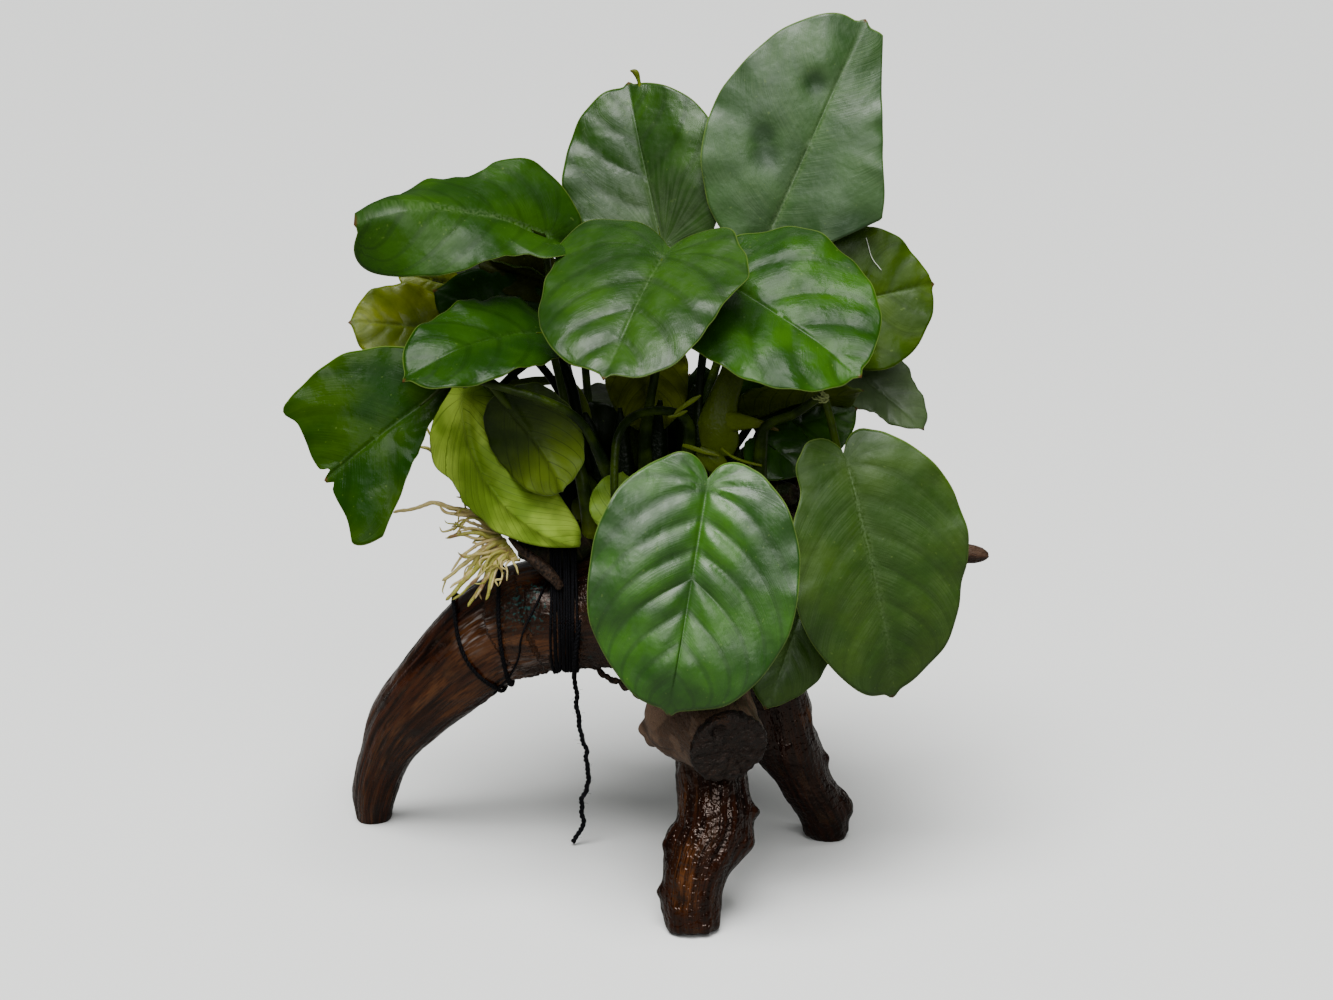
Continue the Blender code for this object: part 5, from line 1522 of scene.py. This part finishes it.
# Old leaf bases and sheaths round the stalks: places with the half width there in millimetres,
# how flat, how light, how pale, and how brown at the end.
SHEATHS = (
    (((125, -92, 1110, 4.6), (126, -92, 1140, 6.0), (128, -92, 1172, 6.0), (137, -90, 1206, 5.2),
      (147, -86, 1248, 4.0), (163, -80, 1296, 3.5), (172, -74, 1335, 3.0)), 0.55, 1.2, 0.5, 0.0),
    (((141, -100, 1196, 3.2), (186, -124, 1200, 2.3), (215, -138, 1201, 1.6),
      (245, -148, 1198, 1.0), (282, -156, 1186, 0.3)), 0.4, 1.2, 0.8, 0.8),
    (((86, -170, 1279, 0.2), (70, -172, 1270, 0.6), (54, -175, 1260, 0.65),
      (30, -178, 1243, 0.45), (19, -180, 1231, 0.2)), 0.4, 1.2, 1.0, 0.2),
    (((52, -168, 1239, 0.2), (36, -172, 1233, 0.55), (19, -178, 1228, 0.45), (4, -180, 1226, 0.2)),
     0.4, 1.2, 1.0, 0.2),
    (((40, -165, 1150, 0.4), (59, -170, 1146, 0.6), (94, -175, 1135, 0.6), (132, -180, 1126, 0.2)),
     0.4, 1.2, 1.0, 0.2),
    (((137, -170, 1143, 0.3), (165, -170, 1122, 0.35), (200, -170, 1108, 0.35),
      (240, -168, 1098, 0.3)), 0.8, 1.2, 1.0, 0.2),
    (((80, -150, 1135, 1.4), (110, -155, 1112, 3.0), (135, -155, 1092, 2.6),
      (150, -155, 1078, 1.0)), 0.3, 1.0, 0.45, 0.2),
    (((92, 112, 1180, 3.4), (95, 112, 1235, 3.9), (94, 112, 1275, 3.4), (90, 112, 1298, 1.2)),
     0.4, 0.1, 0.0, 0.0),
    (((-240, 10, 880, 3.4), (-255, 20, 990, 3.6), (-275, 30, 1120, 2.2), (-290, 35, 1190, 0.5)),
     0.5, 0.1, 0.0, 0.0),
    (((-180, 0, 920, 3.6), (-185, -5, 1020, 4.0), (-200, 0, 1140, 2.6), (-210, 0, 1200, 0.5)),
     0.5, 0.1, 0.0, 0.0),
    (((-110, 0, 930, 3.6), (-112, 0, 1030, 3.8), (-118, 10, 1130, 2.4), (-120, 10, 1210, 0.5)),
     0.5, 0.15, 0.0, 0.0),
    (((-30, 0, 950, 3.6), (-28, 0, 1050, 3.8), (-20, 10, 1160, 2.4), (-16, 10, 1230, 0.5)),
     0.5, 0.1, 0.0, 0.0),
    (((50, 0, 970, 3.6), (56, 0, 1070, 4.0), (66, 5, 1180, 3.2), (78, 10, 1270, 0.8)),
     0.5, 0.15, 0.0, 0.0),
)
# Bare stalks that cross each other behind the left leaves, in the same way.
BARE_STALKS = (
    (((-425, 40, 1265, 0.8), (-395, 40, 1292, 0.9), (-340, 40, 1334, 0.9), (-307, 40, 1359, 0.9),
      (-284, 40, 1379, 0.8)), 1.0, 0.0, 0.0, 0.0),
    (((-352, 20, 1348, 0.8), (-318, 20, 1312, 1.0), (-293, 20, 1279, 1.0), (-272, 20, 1242, 1.0),
      (-250, 20, 1202, 1.1), (-220, 10, 1060, 1.2)), 1.0, 0.0, 0.0, 0.0),
    (((-310, -20, 1390, 1.2), (-276, -20, 1341, 1.4), (-255, -20, 1301, 1.5),
      (-241, -20, 1254, 1.5), (-231, -20, 1203, 1.4), (-200, -20, 1050, 1.4)), 1.0, 0.0, 0.0, 0.0),
    (((-420, 80, 1256, 0.8), (-365, 80, 1264, 1.0), (-329, 80, 1267, 1.1), (-259, 80, 1262, 1.1),
      (-215, 70, 1200, 1.2), (-190, 40, 1060, 1.3)), 1.0, 1.0, 0.6, 0.0),
)
SHEATH_SIDES = 20
SHEATH_STEPS = 48
SHEATH_BROWN = (0.060, 0.032, 0.008, 1.0)
# A frayed kink at the top of the front right stalk, and which way its fibres point.
KINK = metres((390, -260, 1290))
KINK_WAY = (-0.75, -0.2, 0.45)
KINK_FIBRES = 26
TORN_GREEN = (0.30, 0.36, 0.12, 1.0)
# A curled nib that stands up from the tip of the upper middle leaf.
NIB_ROUTE = (
    (-67, 264, 1996, 0.6), (-72, 264, 2024, 0.5), (-80, 262, 2045, 0.8), (-94, 258, 2051, 0.2),
)


def on_rhizome(x, turn):
    """Where a stalk springs from the rhizome, so far round it from the front, and its direction."""
    path = smooth_path(RHIZOME_ROUTE, 6)
    low = int(np.searchsorted(path[:, 0], x)) - 1
    share = (x - path[low, 0]) / (path[low + 1, 0] - path[low, 0])
    middle, thick = (path[low] + (path[low + 1] - path[low]) * share)[[0, 1, 2]], path[low, 3]
    ahead = unit(path[low + 1, :3] - path[low, :3])
    front = unit(np.array((0.0, -1.0, 0.0)) + ahead * ahead[1])
    over = np.cross(front, ahead)
    over = over if over[2] > 0 else -over
    way = front * cos(radians(turn)) + over * sin(radians(turn))
    return middle + way * (thick * NODE_SWELL + 3 * GAP), way


def stalk_route(item):
    """The points of a stalk from inside the rhizome to under the blade."""
    along, _, up = blade_axes(item)
    slope = radians(item.arch) / 2
    rib = along * cos(slope) + up * sin(slope)
    normal = up * cos(slope) - along * sin(slope)
    start, way = on_rhizome(*item.root)
    end = item.base - normal * (SOLID_THICKNESS / 2 + GAP + SOLID_RADIUS)
    tail = [item.base - normal * 0.0008 + rib * 0.0022, item.base - normal * 0.0005 + rib * 0.0055]
    if item.meets == "margin":
        arrive = unit(rib * 0.9 - normal * 0.3)
        heel = float(margin(item, np.array([pi]))[0])
        end = item.base - rib * (heel + GAP + SOLID_RADIUS)
    elif item.meets == "folded":
        arrive = unit(normal - rib)
    else:
        arrive = unit(normal + rib)
    bow = np.linalg.norm(end - start) * STALK_BOW
    if item.via:
        knots = [start, start + way * STALK_LEAD, *item.via, end - arrive * STALK_LEAD, end]
    else:
        lead, trail = start + way * bow, end - arrive * bow
        t = np.linspace(0, 1, 5)[:, None]
        knots = list(start * (1 - t) ** 3 + lead * 3 * t * (1 - t) ** 2
                     + trail * 3 * t * t * (1 - t) + end * t**3)
    return [start - way * 0.0022, *knots, *tail]


def stalk_finish():
    """Dark to yellow-green in patches, a tone for each stalk, paler at the foot, brown where worn,
    finely bumped.
    """
    made, tree, surface = finish("stalk skin", 0.36, Specular_IOR_Level=0.13)
    along = mark(tree, "along")
    tone = mark(tree, "tone")
    place = on_object(tree)
    patch = mask(tree, place, 130.0, 0.35, 0.65)
    light = times(tree, tone, plus(tree, 0.35, patch))
    colour = blend(tree, ramp(tree, light, 0.0, 1.2), STALK_DEEP, STALK_LIGHT)
    colour = blend(tree, ramp(tree, along, 0.16, 0.0, 0.0, 0.7), colour, STALK_FOOT_PALE)
    worn = mark(tree, "worn")
    colour = blend(tree, worn, colour, SHEATH_BROWN)
    tree.links.new(colour, surface.inputs["Base Color"])
    bumped(tree, surface, mask(tree, place, 900.0, 0.3, 0.7), 0.00008)
    return made


stalk_green = stalk_finish()


def stalk(item, tone):
    """One stalk, flared where it leaves the rhizome and tapered into the midrib."""
    path = smooth_path(stalk_route(item), 8)
    path = evened(path, round(measured(path)[-1] / STALK_STEP))
    lengths = measured(path)
    share = lengths / lengths[-1]
    radii = STALK_RADIUS * (STALK_FOOT - (STALK_FOOT - STALK_TOP) * share)
    foot = np.clip(1 - lengths / (SHEATH_SHARE * lengths[-1]), 0, 1)
    flare = FLARE * np.exp(-lengths / FLARE_LENGTH)
    radii *= 1 + flare + SHEATH_SWELL * np.clip(foot * 4, 0, 1) * foot**0.5
    radii *= np.clip((lengths[-1] - lengths) / TAPER_LENGTH, 0.12, 1) ** 0.7
    points, faces = tube(path, radii, STALK_SIDES)
    marks = {"along": np.repeat(share, STALK_SIDES), "tone": np.full(len(points), tone),
             "worn": np.zeros(len(points))}
    covers = [] if item in SHADED_LEAVES else ["stalk_" + item.name]
    piece("stem_" + item.name, points, faces, [stalk_green], "stalk", covers, marks)


def sheath(route, flat, tone, pale, brown):
    """One old leaf base: a flattened, pointed tube."""
    path = evened(smooth_path(widened(route)), SHEATH_STEPS)
    angle = 2 * pi * np.arange(SHEATH_SIDES) / SHEATH_SIDES
    radii = path[:, 3:4] * 0.001 / np.sqrt(np.cos(angle) ** 2 + (np.sin(angle) / flat) ** 2)
    ridges = cloud(np.column_stack([np.tile(angle, SHEATH_STEPS) * 0.9,
                                    np.repeat(path[:, 2], SHEATH_SIDES) * 40,
                                    np.repeat(path[:, 0], SHEATH_SIDES) * 40]), 1.5, 3.0)
    radii *= 1 + 0.22 * ridges.reshape(radii.shape)
    points, faces = tube(path[:, :3], radii, SHEATH_SIDES, (0.0, 1.0, 0.0))
    share = np.repeat(np.linspace(0, 1, SHEATH_STEPS), SHEATH_SIDES)
    worn = brown * np.clip((share - 0.55) / 0.35, 0, 1)
    return points, faces, {"along": np.full(len(points), 0.16 * (1 - pale)),
                           "tone": np.full(len(points), tone), "worn": worn}


rng = np.random.default_rng(21)
for item in LEAVES + SHADED_LEAVES:
    light = float(rng.uniform(0.25, 1.0))
    stalk(item, 1.2 if item.name == "front_right" else light)
for kind, table in (("leaf_base", SHEATHS), ("bare_stalk", BARE_STALKS)):
    for number, row in enumerate(table, 1):
        points, faces, marks = sheath(*row)
        piece(f"{kind}_{number}", points, faces, [stalk_green], "stalk", [], marks)
parts = []
for _ in range(KINK_FIBRES):
    way = unit(np.array(KINK_WAY) + rng.normal(size=3) * 0.3)
    way = way * rng.uniform(0.0010, 0.0026)
    start = KINK + rng.normal(size=3) * (0.0006, 0.0004, 0.0005)
    knots = (start, start + way * 0.6 + rng.normal(size=3) * 0.0002, start + way)
    parts.append(tube(smooth_path(knots, 4), np.linspace(0.00030, 0.00010, 9), 6))
points, faces = joined(parts)
torn_green = finish("torn stalk", 0.5, Base_Color=TORN_GREEN, Specular_IOR_Level=0.3)[0]
piece("frayed_kink", points, faces, [torn_green], "stalk")
points, faces, marks = sheath(NIB_ROUTE, 1.0, 1.0, 0.7, 0.5)
piece("leaf_nib", points, faces, [stalk_green], "leaf", [], marks)
